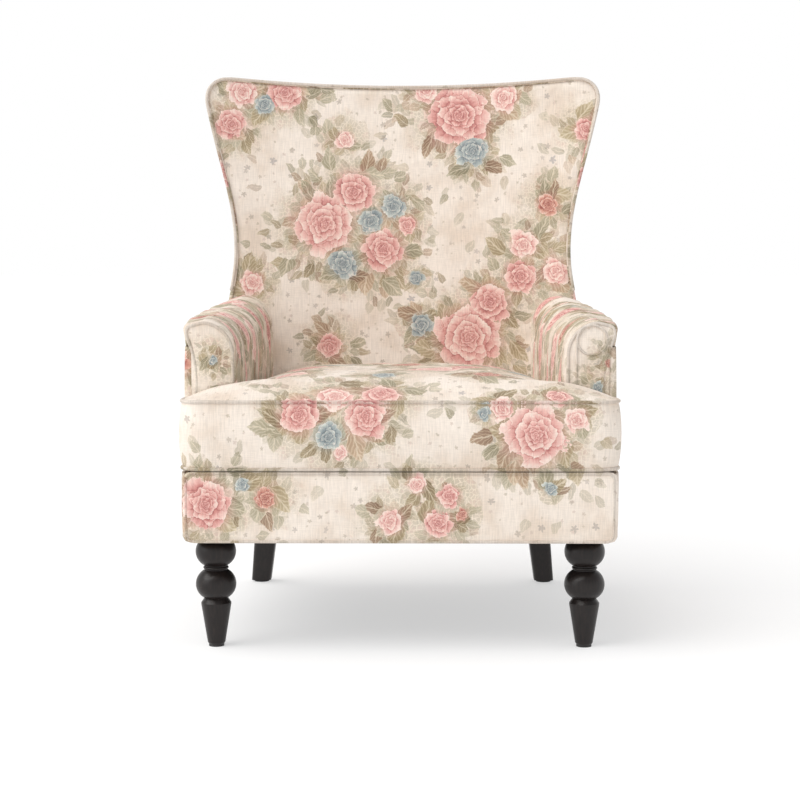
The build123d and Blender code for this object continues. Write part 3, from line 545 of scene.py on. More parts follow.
def nearest_group(name, flowers):
    """A group that finds, for a place on the cloth, the flower it belongs to."""
    tree = bpy.data.node_groups.new(name, "ShaderNodeTree")
    tree.interface.new_socket("Place", in_out="INPUT", socket_type="NodeSocketVector")
    tree.interface.new_socket("Reach", in_out="OUTPUT", socket_type="NodeSocketFloat")
    tree.interface.new_socket("Centre", in_out="OUTPUT", socket_type="NodeSocketVector")
    g = Graph(tree)
    place = g.node("NodeGroupInput").outputs[0]
    best = centre = None
    for x, y, r, kind in flowers:
        share = g.mul(g.vector("DISTANCE", place, (x, y, 0.0)), 1 / r)
        code = (x, y, kind + r)
        if best is None:
            best, centre = share, g.join(*code)
            continue
        closer = g.math("LESS_THAN", share, best)
        best = g.math("MINIMUM", share, best)
        centre = g.mix(closer, centre, code, kind="VECTOR")
    out = g.node("NodeGroupOutput")
    g.feed(out.inputs[0], best)
    g.feed(out.inputs[1], centre)
    return tree


def nearest(g, tree, place):
    """Reach in radii, the centre, its radius and its kind."""
    made = g.node("ShaderNodeGroup", node_tree=tree)
    g.feed(made.inputs[0], place)
    x, y, code = g.split(made.outputs[1])
    kind = g.math("FLOOR", code)
    radius = g.sub(code, kind)
    return made.outputs[0], g.join(x, y), radius, kind


def leaf_layer(g, place, tree, size, seed, spread, width, drawn=1.0):
    """Leaves that grow outward round the flowers. Returns their mask and colour."""
    offset = (seed * 0.137, seed * 0.071, 0.0)
    found = g.cells(g.vector("ADD", place, offset), 1 / size, scatter=0.9)
    cell = g.vsub(found["Position"], offset)
    chance, shade, turn = g.split(found["Color"])
    reach, centre, radius, _ = nearest(g, tree, cell)
    delta = g.vector("SCALE", g.vsub(place, cell), scale=1 / size)
    way = g.vector("NORMALIZE", g.vsub(cell, centre))
    along = g.vector("DOT_PRODUCT", delta, way)
    dx, dy, _ = g.split(delta)
    wx, wy, _ = g.split(way)
    across = g.sub(g.mul(wx, dy), g.mul(wy, dx))
    lean = g.muladd(turn, 2.0, -1.0)
    a = g.muladd(across, lean, along)
    b = g.sub(across, g.mul(along, lean))
    grow = g.math("INVERSE_SQRT", g.muladd(lean, lean, 1.0))
    a, b = g.mul(a, grow), g.mul(b, grow)
    b = g.muladd(g.math("SINE", g.mul(a, 4.0)), 0.05, b)
    s = g.math("DIVIDE", a, 0.66)
    belly = g.math("MAXIMUM", g.sub(1.0, g.mul(s, s)), 0.0)
    belly = g.mul(belly, g.muladd(s, -0.42, 1.0))
    w = g.math("DIVIDE", g.math("ABSOLUTE", b), g.muladd(shade, width * 0.5, width))
    ribs = g.math("SINE", g.mul(g.sub(g.mul(w, 1.1), s), 15.0))
    inside = g.sub(g.muladd(ribs, 0.05, belly), w)
    mask = g.step(inside, 0.0, 0.08)
    edge = g.mul(g.sub(reach, 1.0), radius)
    limit = g.muladd(radius, 0.62, spread)
    limit = g.mul(limit, g.muladd(chance, 0.8, 0.30))
    uneven = g.step(g.noise(cell, 15.0, 1.0, "2D"), 0.36, 0.62, 0.20, 1.35)
    limit = g.mul(limit, uneven)
    mask = g.mul(mask, g.math("LESS_THAN", edge, limit))
    tone = g.muladd(ribs, 0.08, g.muladd(s, 0.20, 0.40))
    tone = g.add(tone, g.mul(g.sub(shade, 0.5), 0.55))
    olive, brown, sage = (
        g.ramp(tone, list(zip((0.0, 0.4, 0.75, 1.0), shades.split())))
        for shades in ("978463 B7A581 CFBF9F E1D4BB", "95775D B7997C D2B89B E5D1BA", "9B9377 B8AF94 CEC5AE DFD8C6")
    )
    colour = g.mix(g.math("GREATER_THAN", turn, 0.66), olive, brown)
    colour = g.mix(g.math("GREATER_THAN", chance, 0.68), colour, sage)
    line = g.math("MAXIMUM", g.step(inside, 0.14, 0.04), g.step(w, 0.13, 0.03))
    line = g.math("MAXIMUM", line, g.mul(g.step(ribs, 0.72, 0.98), 0.6))
    colour = g.mix(g.mul(line, 0.62), colour, srgb("EEE2CB"))
    return g.mul(mask, drawn), colour


def sprig_layer(g, place, size, seed, radius, keep, shades):
    """Tiny scattered blossoms of five petals. Returns their mask and colour."""
    offset = (seed * 0.31, seed * 0.17, 0.0)
    found = g.cells(g.vector("ADD", place, offset), 1 / size, scatter=1.0)
    chance, shade, turn = g.split(found["Color"])
    delta = g.vsub(g.vector("ADD", place, offset), found["Position"])
    dx, dy, _ = g.split(delta)
    angle = g.muladd(turn, 6.0, g.math("ARCTAN2", dy, dx))
    petals = g.math("ABSOLUTE", g.math("COSINE", g.mul(angle, 2.5)))
    rim = g.mul(g.muladd(petals, 0.62, 0.40), g.muladd(shade, radius * 0.6, radius * 0.7))
    mask = g.step(g.sub(g.vector("LENGTH", delta), rim), 0.0006, -0.0006)
    mask = g.mul(mask, g.math("GREATER_THAN", chance, 1 - keep))
    return g.mul(mask, 0.55), g.ramp(shade, list(zip((0.0, 0.5, 1.0), shades.split())))


def print_group(name, flowers, fine=1.0):
    """The printed cloth's colour, from a place on the cloth in metres. fine scales the leaves."""
    found = nearest_group(name + "_nearest", flowers)
    tree = bpy.data.node_groups.new(name, "ShaderNodeTree")
    tree.interface.new_socket("Place", in_out="INPUT", socket_type="NodeSocketVector")
    tree.interface.new_socket("Color", in_out="OUTPUT", socket_type="NodeSocketColor")
    g = Graph(tree)
    place = g.node("NodeGroupInput").outputs[0]
    half = (0.5, 0.5, 0.5)
    wobble = g.noises(place, 70.0, 3.0, "2D")
    shift = g.vector("SCALE", g.vsub(wobble["Color"], half), scale=0.008)
    bx, by, _ = g.split(g.vector("ADD", place, shift))
    bent = g.join(bx, by)

    colour = g.ramp(g.noise(place, 12.0, 5.0, "2D"), [(0.3, "E9DACA"), (0.5, GROUND), (0.72, "F5EBE0")])
    for size, seed, radius, keep, shades in (
        (0.017, 4.0, 0.0026, 0.30, "C8BAA2 D3C5B2 D8C4B8"),
        (0.027, 7.0, 0.0038, 0.30, "C0B29A CBBCA9 C6BAB2"),
        (0.046, 2.0, 0.0056, 0.45, "B5A89A BFB1A2 B3ADAE"),
    ):
        mask, tint = sprig_layer(g, bent, size, seed, radius, keep, shades)
        colour = g.mix(mask, colour, tint)

    reach, centre, radius, kind = nearest(g, found, bent)
    edge = g.mul(g.sub(reach, 1.0), radius)
    cloud = g.noise(bent, 38.0, 4.0, "2D")
    haze = g.step(g.muladd(cloud, -0.075, edge), 0.016, -0.030)
    lace = g.cells(bent, 1 / 0.0075, feature="DISTANCE_TO_EDGE", scatter=1.0)["Distance"]
    green = g.ramp(cloud, [(0.35, "B9AB8C"), (0.5, "CDC1A6"), (0.66, "D9BFAC")])
    tint = g.mix(g.step(lace, 0.02, 0.16), srgb("EBDFC9"), green)
    colour = g.mix(g.mul(haze, 0.55), colour, tint)
    for size, seed, spread, width, drawn in (
        (0.025, 5.0, 0.055, 0.26, 0.40),
        (0.022, 9.0, 0.032, 0.28, 0.64),
        (0.030, 3.0, 0.020, 0.30, 0.82),
        (0.043, 1.0, 0.013, 0.28, 0.90),
    ):
        mask, leaf = leaf_layer(g, bent, found, size * fine, seed, spread * fine, width, drawn)
        colour = g.mix(mask, colour, leaf)

    local = g.vsub(bent, centre)
    away = g.vector("NORMALIZE", local)
    seed = g.vector("SCALE", centre, scale=31.0)
    many = g.muladd(radius, 11.0, 1.25)
    layers = g.mul(many, 1.7)
    deep = g.mul(g.math("LOGARITHM", g.add(reach, 0.12), math.e), layers)
    ax, ay, _ = g.split(g.vector("SCALE", away, scale=many))
    crimp = g.noises(place, 150.0, 2.0, "2D")
    ruffle = g.vector("SCALE", g.vsub(crimp["Color"], half), scale=0.42)
    ringed = g.vector("ADD", g.vector("ADD", g.join(ax, ay, deep), seed), ruffle)
    petals = g.cells(ringed, 1.0, "3D", scatter=0.9)
    borders = g.cells(ringed, 1.0, "3D", "DISTANCE_TO_EDGE", scatter=0.9)["Distance"]
    rise = g.sub(g.split(ringed)[2], g.split(petals["Position"])[2])
    each = g.split(petals["Color"])[0]
    brim = g.muladd(layers, math.log(0.90 + 0.12), g.split(seed)[2])
    whole = g.math("LESS_THAN", g.split(petals["Position"])[2], brim)
    streaks = g.noise(g.join(g.mul(ax, 9.0), g.mul(ay, 9.0), g.mul(deep, 1.2)), 1.0, 2.0)
    tone = g.muladd(rise, 0.52, g.muladd(each, 0.22, 0.32))
    tone = g.muladd(g.sub(streaks, 0.5), 0.45, tone)
    tone = g.muladd(reach, 0.14, tone)
    tone = g.muladd(g.sub(crimp[0], 0.5), 0.20, tone)
    tone = g.sub(tone, g.mul(g.mul(g.step(borders, 0.14, 0.0), g.step(rise, 0.15, -0.25)), 0.28))
    tone = g.sub(tone, g.mul(g.step(reach, 0.42, 0.05), 0.20))
    peony, blush, is_coral, is_blue = (g.math("COMPARE", kind, float(k), 0.5) for k in (PEONY, BLUSH, CORAL, BLUE))
    tone = g.add(tone, g.muladd(peony, 0.12, g.mul(blush, 0.24)))
    pink = g.ramp(tone, [(0.0, "C57B75"), (0.25, "D9968D"), (0.5, "E7B2A8"), (0.78, "F1CEC3"), (1.0, "F6E2D7")])
    coral = g.ramp(tone, [(0.0, "A9604E"), (0.3, "C98370"), (0.65, "DDA994"), (1.0, "EFD3C2")])
    blue = g.ramp(tone, [(0.0, "8B9599"), (0.3, "A5AFB1"), (0.6, "BEC5C2"), (1.0, "DEE0D8")])
    bloom = g.mix(is_blue, g.mix(is_coral, pink, coral), blue)
    rim = g.mul(g.step(borders, 0.07, 0.015), g.step(rise, -0.2, 0.2))
    bloom = g.mix(g.mul(rim, 0.55), bloom, srgb("F6E6DA"))
    glow = g.step(g.muladd(cloud, -0.5, reach), 1.05, 0.55)
    colour = g.mix(g.mul(glow, 0.35), colour, bloom)
    colour = g.mix(g.mul(whole, g.step(reach, 1.45, 1.30)), colour, bloom)
    deepen, calm = g.node("ShaderNodeGamma"), g.node("ShaderNodeHueSaturation")
    deepen.inputs["Gamma"].default_value, calm.inputs["Saturation"].default_value = 1.32, 0.84
    g.feed(deepen.inputs["Color"], colour)
    g.feed(calm.inputs["Color"], deepen.outputs[0])
    g.feed(g.node("NodeGroupOutput").inputs[0], calm.outputs[0])
    return tree


def cloth_material(name, tree=None, plain=GROUND, drop=None, slub=1.0, shade=1.0):
    """A woven, printed cloth. The print and weave follow the UVs, which are metres of cloth, or with
    drop the object's X and Z, that far down."""
    material, g, shader = new_material(name)
    coords = g.node("ShaderNodeTexCoord")
    place = coords.outputs["UV"]
    if drop is not None:
        x, y, z = g.split(coords.outputs["Object"])
        place = g.join(x, g.sub(g.muladd(y, 0.5, z), drop))
    if tree is not None:
        printed = g.node("ShaderNodeGroup", node_tree=tree)
        g.feed(printed.inputs[0], place)
        colour = printed.outputs[0]
    else:
        dark, light = (tuple(share * c for c in srgb(plain)) for share in (0.80, 0.86))
        colour = g.ramp(g.noise(place, 14.0, 4.0), [(0.3, dark), (0.7, light)])
    streak_u = g.noise(g.vector("MULTIPLY", place, (60.0, 560.0, 300.0)), 1.0, 2.0)
    streak_v = g.noise(g.vector("MULTIPLY", place, (420.0, 38.0, 300.0)), 1.0, 3.0)
    slubs = g.muladd(streak_v, 1.3, g.mul(streak_u, 0.7))
    # shade below 1 is painted shade: it darkens the whole cloth evenly, for the shadow line along piping
    tint = g.step(slubs, 0.70, 1.30, shade * (1.0 - 0.085 * slub), shade * (1.0 + 0.045 * slub))
    colour = g.mix(1.0, colour, g.join(tint, tint, tint), blend="MULTIPLY")
    g.feed(shader.inputs["Base Color"], colour)
    x, y, _ = g.split(place)
    over, under = (g.math("SINE", g.mul(c, THREADS)) for c in (x, y))
    g.bump(shader, g.muladd(slubs, 1.1 * slub, g.mul(g.mul(over, under), 0.35)), 0.35, 0.0006)
    g.feed(shader.inputs["Roughness"], g.step(slubs, 0.7, 1.3, 0.92, 0.80))
    shader.inputs["Sheen Weight"].default_value = 0.18
    shader.inputs["Sheen Roughness"].default_value = 0.5
    shader.inputs["Specular IOR Level"].default_value = 0.2
    return material


def lacquer_material():
    """Near-black stained wood under satin lacquer, with a faint grain."""
    material, g, shader = new_material("leg_wood")
    place = g.node("ShaderNodeTexCoord").outputs["Object"]
    grain = g.noise(g.vector("MULTIPLY", place, (260.0, 260.0, 16.0)), 1.0, 5.0)
    pores = g.noise(g.vector("MULTIPLY", place, (900.0, 900.0, 60.0)), 1.0, 2.0)
    g.feed(shader.inputs["Base Color"], g.ramp(grain, [(0.30, "130E0D"), (0.60, "1E1715"), (0.8, "28201C")]))
    g.feed(shader.inputs["Roughness"], g.step(grain, 0.3, 0.7, 0.34, 0.46))
    shader.inputs["Specular IOR Level"].default_value = 0.3
    shader.inputs["Coat Weight"].default_value = 0.15
    shader.inputs["Coat Roughness"].default_value = 0.2
    g.bump(shader, g.add(grain, pores), 0.12, 0.0005)
    return material


def raw_wood_material():
    material, g, shader = new_material("frame_wood")
    place = g.node("ShaderNodeTexCoord").outputs["Object"]
    grain = g.noise(g.vector("MULTIPLY", place, (18.0, 160.0, 160.0)), 1.0, 5.0)
    g.feed(shader.inputs["Base Color"], g.ramp(grain, [(0.3, "9A7550"), (0.55, "BE9A6E"), (0.8, "D2B489")]))
    g.feed(shader.inputs["Roughness"], g.step(grain, 0.3, 0.7, 0.6, 0.75))
    g.bump(shader, grain, 0.2, 0.0008)
    return material


def metal_material(name, tone, roughness, speckle):
    material, g, shader = new_material(name)
    place = g.node("ShaderNodeTexCoord").outputs["Object"]
    wear = g.noise(place, speckle, 4.0)
    g.feed(shader.inputs["Base Color"], g.ramp(wear, [(0.3, tuple(0.72 * c for c in tone)), (0.7, tone)]))
    g.feed(shader.inputs["Roughness"], g.step(wear, 0.3, 0.7, roughness + 0.12, roughness - 0.06))
    shader.inputs["Metallic"].default_value = 1.0
    return material


def coarse_material(name, tone, pitch, roughness=0.9):
    """Open weaves and felts: burlap, webbing, dust cover, zip tape, nylon."""
    material, g, shader = new_material(name)
    place = g.node("ShaderNodeTexCoord").outputs["Object"]
    x, y, z = g.split(place)
    a = g.math("SINE", g.mul(g.add(x, z), 2 * math.pi / pitch))
    b = g.math("SINE", g.mul(g.sub(y, z), 2 * math.pi / pitch))
    threads = g.mul(a, b)
    mottled = g.noise(place, 90.0, 3.0)
    shade = g.muladd(threads, 0.12, mottled)
    g.feed(shader.inputs["Base Color"], g.ramp(shade, [(0.3, tuple(0.68 * c for c in tone)), (0.65, tone)]))
    g.feed(shader.inputs["Roughness"], g.step(mottled, 0.3, 0.7, roughness, roughness - 0.12))
    g.bump(shader, threads, 0.4, 0.0005)
    return material


# ---------------------------------------------------------------- the print's layout, in metres of cloth
BACK_FLOWERS = [
    (-0.157, 0.728, 0.066, PEONY), (-0.097, 0.791, 0.046, ROSE), (-0.039, 0.677, 0.045, ROSE),
    (-0.064, 0.733, 0.028, BLUE), (-0.018, 0.762, 0.028, BLUE), (-0.118, 0.648, 0.033, BLUE),
    (0.010, 0.725, 0.020, ROSE), (0.027, 0.619, 0.015, BLUE), (-0.116, 0.896, 0.020, BLUSH),
    (0.113, 0.945, 0.069, ROSE), (0.202, 0.980, 0.031, BLUSH), (0.047, 0.994, 0.028, BLUSH),
    (0.138, 0.874, 0.034, BLUE), (-0.236, 0.990, 0.038, ROSE), (-0.275, 0.966, 0.022, BLUE),
    (-0.320, 0.990, 0.031, BLUSH), (-0.342, 0.926, 0.034, ROSE), (0.289, 0.766, 0.024, CORAL),
    (0.240, 0.686, 0.029, BLUSH), (0.234, 0.622, 0.036, ROSE), (0.302, 0.634, 0.030, BLUSH),
    (0.174, 0.570, 0.043, ROSE), (0.132, 0.502, 0.070, PEONY), (0.038, 0.527, 0.025, BLUE),
    (-0.144, 0.484, 0.026, ROSE), (-0.298, 0.611, 0.026, BLUSH), (0.366, 0.914, 0.026, ROSE),
]
SEAT_FLOWERS = [
    (-0.167, -0.022, 0.036, ROSE), (-0.108, 0.014, 0.034, BLUSH), (-0.056, -0.026, 0.037, ROSE),
    (-0.032, 0.022, 0.036, ROSE), (-0.119, -0.058, 0.026, BLUE), (-0.098, -0.085, 0.013, BLUSH),
    (0.225, -0.056, 0.055, PEONY), (0.169, -0.012, 0.022, BLUSH), (0.292, -0.030, 0.021, BLUSH),
    (0.263, 0.012, 0.024, ROSE), (0.140, -0.020, 0.013, BLUE), (0.060, 0.235, 0.052, BLUSH),
    (-0.170, 0.300, 0.046, ROSE), (-0.110, 0.345, 0.030, BLUE), (0.190, 0.400, 0.050, ROSE),
    (-0.030, 0.115, 0.022, BLUE), (-0.190, 0.150, 0.034, BLUSH), (0.150, 0.130, 0.026, CORAL),
    (0.120, 0.275, 0.034, ROSE), (-0.060, 0.430, 0.050, PEONY), (-0.215, 0.430, 0.034, BLUSH),
    (0.010, 0.350, 0.028, CORAL), (0.215, 0.230, 0.026, BLUE), (0.085, 0.475, 0.036, ROSE),
    (-0.322, -0.177, 0.045, ROSE), (-0.223, -0.167, 0.020, CORAL), (-0.262, -0.144, 0.013, BLUE),
    (0.028, -0.143, 0.017, BLUSH), (0.082, -0.163, 0.021, ROSE), (0.064, -0.209, 0.026, ROSE),
    (-0.016, -0.205, 0.023, BLUSH), (0.104, -0.193, 0.012, CORAL), (0.250, -0.150, 0.012, BLUE),
]
ARM_FLOWERS = [
    (0.215, 0.060, 0.020, BLUSH), (0.300, 0.040, 0.024, BLUSH), (0.262, 0.125, 0.026, ROSE),
    (0.370, 0.090, 0.026, BLUSH), (0.345, 0.175, 0.022, CORAL), (0.450, 0.140, 0.032, PEONY),
    (0.520, 0.050, 0.028, ROSE), (0.570, 0.120, 0.030, BLUSH), (0.640, 0.190, 0.030, ROSE),
    (0.440, 0.212, 0.020, BLUE), (0.240, 0.212, 0.022, BLUSH), (0.680, 0.080, 0.030, BLUSH),
    (0.310, 0.236, 0.020, ROSE), (0.540, 0.235, 0.028, BLUSH), (0.760, 0.140, 0.034, ROSE),
    (0.830, 0.060, 0.030, BLUSH), (0.860, 0.190, 0.030, PEONY), (0.950, 0.120, 0.034, ROSE),
    (0.740, 0.236, 0.024, BLUE), (1.020, 0.050, 0.028, BLUSH), (1.050, 0.200, 0.030, ROSE),
]
FACING_FLOWERS = [
    (-0.352, 0.395, 0.008, CORAL), (-0.318, 0.485, 0.009, BLUE), (-0.338, 0.335, 0.011, BLUSH),
    (0.300, 0.386, 0.013, CORAL), (0.336, 0.438, 0.012, BLUE), (0.356, 0.480, 0.008, CORAL),
    (0.333, 0.350, 0.014, ROSE), (-0.300, 0.420, 0.006, BLUE),
]
SIDE_FLOWERS = [
    (0.170, 0.410, 0.062, PEONY), (0.228, 0.462, 0.040, ROSE), (0.110, 0.350, 0.036, ROSE),
    (0.240, 0.392, 0.030, BLUE), (0.150, 0.475, 0.022, BLUE), (0.400, 0.290, 0.056, ROSE),
    (0.462, 0.330, 0.038, BLUSH), (0.350, 0.240, 0.030, BLUE), (0.455, 0.250, 0.026, CORAL),
    (0.490, 0.470, 0.046, ROSE), (0.430, 0.500, 0.026, BLUE), (0.080, 0.230, 0.034, BLUSH),
    (0.220, 0.255, 0.024, CORAL), (-0.260, 0.400, 0.064, ROSE), (-0.330, 0.445, 0.040, PEONY),
    (-0.200, 0.345, 0.034, BLUSH), (-0.320, 0.370, 0.030, BLUE), (-0.480, 0.300, 0.050, PEONY),
    (-0.430, 0.255, 0.034, ROSE), (-0.520, 0.380, 0.028, BLUE), (-0.100, 0.250, 0.040, ROSE),
    (-0.060, 0.210, 0.024, BLUE), (-0.480, 0.495, 0.030, ROSE), (-0.120, 0.480, 0.030, CORAL),
]
BAND_FLOWERS = [
    (0.050, 0.110, 0.034, ROSE), (0.020, 0.210, 0.026, BLUE), (0.070, 0.330, 0.040, PEONY),
    (0.030, 0.395, 0.026, ROSE), (0.050, 0.560, 0.030, BLUSH), (0.030, 0.690, 0.038, ROSE),
    (0.080, 0.730, 0.024, BLUE), (0.055, 0.930, 0.036, PEONY), (0.030, 1.060, 0.028, ROSE),
    (0.070, 1.150, 0.032, BLUSH), (0.040, 1.270, 0.026, BLUE), (0.060, 1.420, 0.038, ROSE),
    (0.030, 1.490, 0.024, CORAL), (0.060, 1.680, 0.034, PEONY), (0.040, 1.860, 0.036, ROSE),
    (0.070, 1.920, 0.022, BLUE), (0.040, 2.080, 0.034, BLUSH), (0.060, 2.260, 0.036, ROSE),
]
REAR_FLOWERS = [
    (-0.130, 0.800, 0.070, PEONY), (-0.060, 0.860, 0.046, ROSE), (-0.050, 0.760, 0.044, ROSE),
    (-0.185, 0.725, 0.034, BLUE), (-0.010, 0.815, 0.026, BLUE), (0.235, 0.930, 0.052, ROSE),
    (0.290, 0.880, 0.034, BLUSH), (0.180, 0.895, 0.028, BLUE), (0.190, 0.600, 0.066, ROSE),
    (0.255, 0.655, 0.040, PEONY), (0.125, 0.545, 0.036, BLUSH), (0.240, 0.535, 0.030, BLUE),
    (-0.220, 0.430, 0.058, ROSE), (-0.150, 0.480, 0.040, BLUSH), (-0.275, 0.490, 0.030, BLUE),
    (-0.160, 0.390, 0.024, CORAL), (0.080, 0.300, 0.054, PEONY), (0.150, 0.265, 0.034, ROSE),
    (0.020, 0.255, 0.028, BLUE), (-0.290, 0.930, 0.030, CORAL), (-0.300, 0.250, 0.030, BLUSH),
    (0.310, 0.400, 0.034, ROSE),
]

back_print = print_group("print_back", BACK_FLOWERS)
seat_print = print_group("print_seat", SEAT_FLOWERS)
facing_print = print_group("print_facing", FACING_FLOWERS, fine=0.55)
back_cloth = cloth_material("cloth_back", back_print)
seat_cloth = cloth_material("cloth_seat", seat_print)
facing_cloth = cloth_material("cloth_facing", facing_print)
arm_cloth = cloth_material("cloth_arm", print_group("print_arm", ARM_FLOWERS, fine=0.8))
side_cloth = cloth_material("cloth_side", print_group("print_side", SIDE_FLOWERS))
band_cloth = cloth_material("cloth_band", print_group("print_band", BAND_FLOWERS))
rear_cloth = cloth_material("cloth_rear", print_group("print_rear", REAR_FLOWERS))
deck_cloth = cloth_material("cloth_deck", plain="D9CDBD")
WELTS = {}
# painted shade: every welt and piping cloth is darkened to 0.78 of the print, standing in for the shadow line that
# falls along the piping
for word, tree, drop in (
    ("back", back_print, 0.012), ("left_arm", facing_print, -0.15), ("right_arm", facing_print, -0.15),
    ("base", seat_print, 0.235), ("cushion_top", seat_print, 0.235), ("cushion_bottom", seat_print, 0.235),
):
    WELTS[word + "_welt"] = cloth_material("welt_" + word, tree, drop=drop, slub=1.6, shade=0.78)

make_camera()
make_stage()


# ---------------------------------------------------------------- back
def rim_cap(piece, loop, most):
    """How far each vertex may swell: most in the middle, hardly at all within 5 mm of the outline."""
    flat = vertices(piece)[:, [0, 2]]
    near = np.min(np.linalg.norm(flat[:, None] - loop[None], axis=2), axis=1)
    return most * np.array([0.03 + 0.97 * smoothstep(d, 0.005, 0.070) for d in near])


def make_inside_back():
    """The padded front of the back: a closed pad that rolls over at its piped edge."""
    loop, spine = back_loop(0.0005, PAD_LOW, 0.012), ridge(0.52, 0.84)
    rows, uvs = [], []
    for t in 1 - (1 - np.linspace(0, 1, 30)) ** 1.25:
        ring = inward(loop, spine, t)
        roll = 0.006 * smoothstep(t, 0.90, 1.0) ** 2
        rows.append([back_point(x, z, roll) for x, z in ring])
        uvs.append(ring)
    for depth in (0.014, 0.028, PAD_T - 0.001):
        rows.append([back_point(x, z, depth) for x, z in loop])
        uvs.append(loop + (loop - [0, 0.7]) * depth * 2)
    for t in (0.6, 0.0):
        ring = inward(loop, spine, t)
        rows.append([back_point(x, z, PAD_T - 0.001) for x, z in ring])
        uvs.append(ring)
    piece = add_grid("inside_back_cushioning", rows, uvs, back_cloth)
    edge = [y > back_point(x, z, 0.004)[1] for x, y, z in vertices(piece)]
    inflate(piece, edge, 2.2, rim_cap(piece, loop, 0.011))
    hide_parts("inside_back_pad")


def make_back_edge():
    """The band of cover over the back's sides and top, from the piping to the outside back."""
    path = resample(np.array(half_outline(0.0, PANEL_LOW)), 0.012)
    path = np.vstack([path, path[::-1][1:] * [-1, 1]])
    run, normal = lengths(path), outward(path)
    rows, uvs = [], []
    for depth, sink in ((0.003, 0.004), (0.005, 0.001), (0.012, -0.001), (0.030, -0.002), (0.055, -0.002),
                        (0.080, -0.001), (0.093, 0.0005), (0.098, 0.003), (0.0995, 0.007)):
        line = path - normal * sink
        rows.append([back_point(x, z, depth) for x, z in line])
        uvs.append(beside(run, depth)[:, ::-1])
    piece = add_grid("back_edge_cover", rows, uvs, band_cloth)
    thicken(piece, 0.003)
    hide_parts("left_back_side_panel", "right_back_side_panel", "back_top_panel")


def make_outside_back():
    """The tacked cover over the back's rear."""
    loop, spine = back_loop(0.0062, PANEL_LOW + 0.001, 0.014), ridge(0.34, 0.84)
    rows, uvs = [], []
    for t in 1 - (1 - np.linspace(0, 1, 22)) ** 1.3:
        ring = inward(loop, spine, t)
        crown = 0.003 * (1 - t**3) - 0.004 * smoothstep(t, 0.965, 1.0)
        rows.append([back_point(x, z, BACK_T + crown) for x, z in ring])
        uvs.append(ring)
    piece = add_grid("outside_back_cover", rows, uvs, rear_cloth, flip=True)
    thicken(piece, 0.004)
    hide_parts("outside_back_panel")


def make_tuck_panel():
    """The flat cloth below the back's pad, hidden by the cushion."""
    rows, uvs = [], []
    for z in np.linspace(0.3055, 0.3985, 9):
        row = [back_point(x, z, 0.0395 + 0.001 * math.sin(x * 60)) for x in np.linspace(-0.249, 0.249, 60)]
        rows.append(row)
        uvs.append([(p[0], p[2]) for p in row])
    piece = add_grid("back_tuck_cloth", rows, uvs, back_cloth)
    thicken(piece, 0.003)
    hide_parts("back_tuck_panel")


# ---------------------------------------------------------------- arms
def arm_skin(y):
    """Points across an arm's cover, from the inside's foot over the top to under the roll."""
    inner, outer, top = arm_inner_x(y), side_x(y) + ROLL_OUT, arm_top_z(y)
    lip, foot, shoulder = top - ARM_LIP, top - ROLL_DROP, top - ROLL_SHOULDER
    crest, brink = inner + ROLL_TOP_IN, outer - ROLL_EDGE
    line = [(inner, ARM_FOOT + (foot - ARM_FOOT) * t) for t in np.linspace(0, 1, 25)]
    line += arc_through((inner, foot), (inner + 0.015, shoulder), (crest, top), 13)[1:]
    line += [(crest + (brink - crest) * t, top - 0.006 * t) for t in (0.25, 0.5, 0.75)]
    line += arc_through((brink, top - 0.006), (outer - 0.002, top - 0.0105), (outer, shoulder), 6)
    line += [(outer - ROLL_OUT * t, shoulder + (lip - shoulder) * t) for t in (0.35, 0.7, 1.0)]
    line += [(brink, lip - 0.0003), (outer - 0.022, lip)]
    return np.array(line, float)


def arm_fold(y, run, side):
    """How far the gathered cover sinks below its smooth shape, and swells above it."""
    broad = y * 84 + 1.5 * math.sin(run * 11 + side) + 0.8 * math.sin(y * 31 + 2 * side)
    fine = y * 205 + 1.8 * math.sin(run * 17 - side) + 1.1 * math.sin(y * 60)
    roll = 0.0042 * (math.sqrt(math.sin(broad / 2) ** 2 + 0.02) - 0.75) + 0.0012 * math.sin(fine)
    reach = smoothstep(y, ARM_START + 0.006, ARM_START + 0.060) * smoothstep(run, 0.0, 0.07)
    return roll * reach * (1 - smoothstep(run, 0.335, 0.375))


def make_arm(side, name):
    """The gathered cover over an arm's inside and top."""
    skins = {}
    shares = np.r_[0.0, 0.008, 0.02, np.linspace(0.035, 1, 92)]
    columns = len(arm_skin(ARM_START))
    ends = [back_point(x, z, 0.010)[1] - FRONT for x, z in arm_skin(0.57)]
    rows, uvs = [], []
    for k, share in enumerate(shares):
        row, uv = [], []
        for c in range(columns):
            y = ARM_START + (ends[c] - ARM_START) * share
            key = round(y, 4)
            if key not in skins:
                skins[key] = arm_skin(y), lengths(arm_skin(y))
            line, run = skins[key]
            x, z = line[c]
            before, after = line[max(c - 1, 0)], line[min(c + 1, columns - 1)]
            along = (after - before) / np.linalg.norm(after - before)
            lift = arm_fold(y, run[c], side) - ((0.0045, 0.0012, 0.0)[k] if k < 3 else 0.0)
            x, z = x - along[1] * lift, z + along[0] * lift
            row.append((side * x, FRONT + y, z))
            uv.append((1.9 * y + 0.012 * math.sin(run[c] * 21 + side), run[c] * 0.62 + 0.02 * side))
        rows.append(row)
        uvs.append(uv)
    piece = add_grid(name, rows, uvs, arm_cloth, flip=side < 0)
    x, y, z = vertices(piece).T
    x, y = np.abs(x), y - FRONT
    lip = (z < arm_top_z(y) - ARM_LIP + 0.008) & (x > 0.31)
    far = y > np.array([back_point(a, c, -0.004)[1] - FRONT for a, c in zip(x, z)])
    inflate(piece, (y < ARM_START + 0.004) | (z < ARM_FOOT + 0.012) | lip | far, 1.6, 0.004)
    thicken(piece, 0.003)
    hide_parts(name.replace("_cushioning", "_pad"))


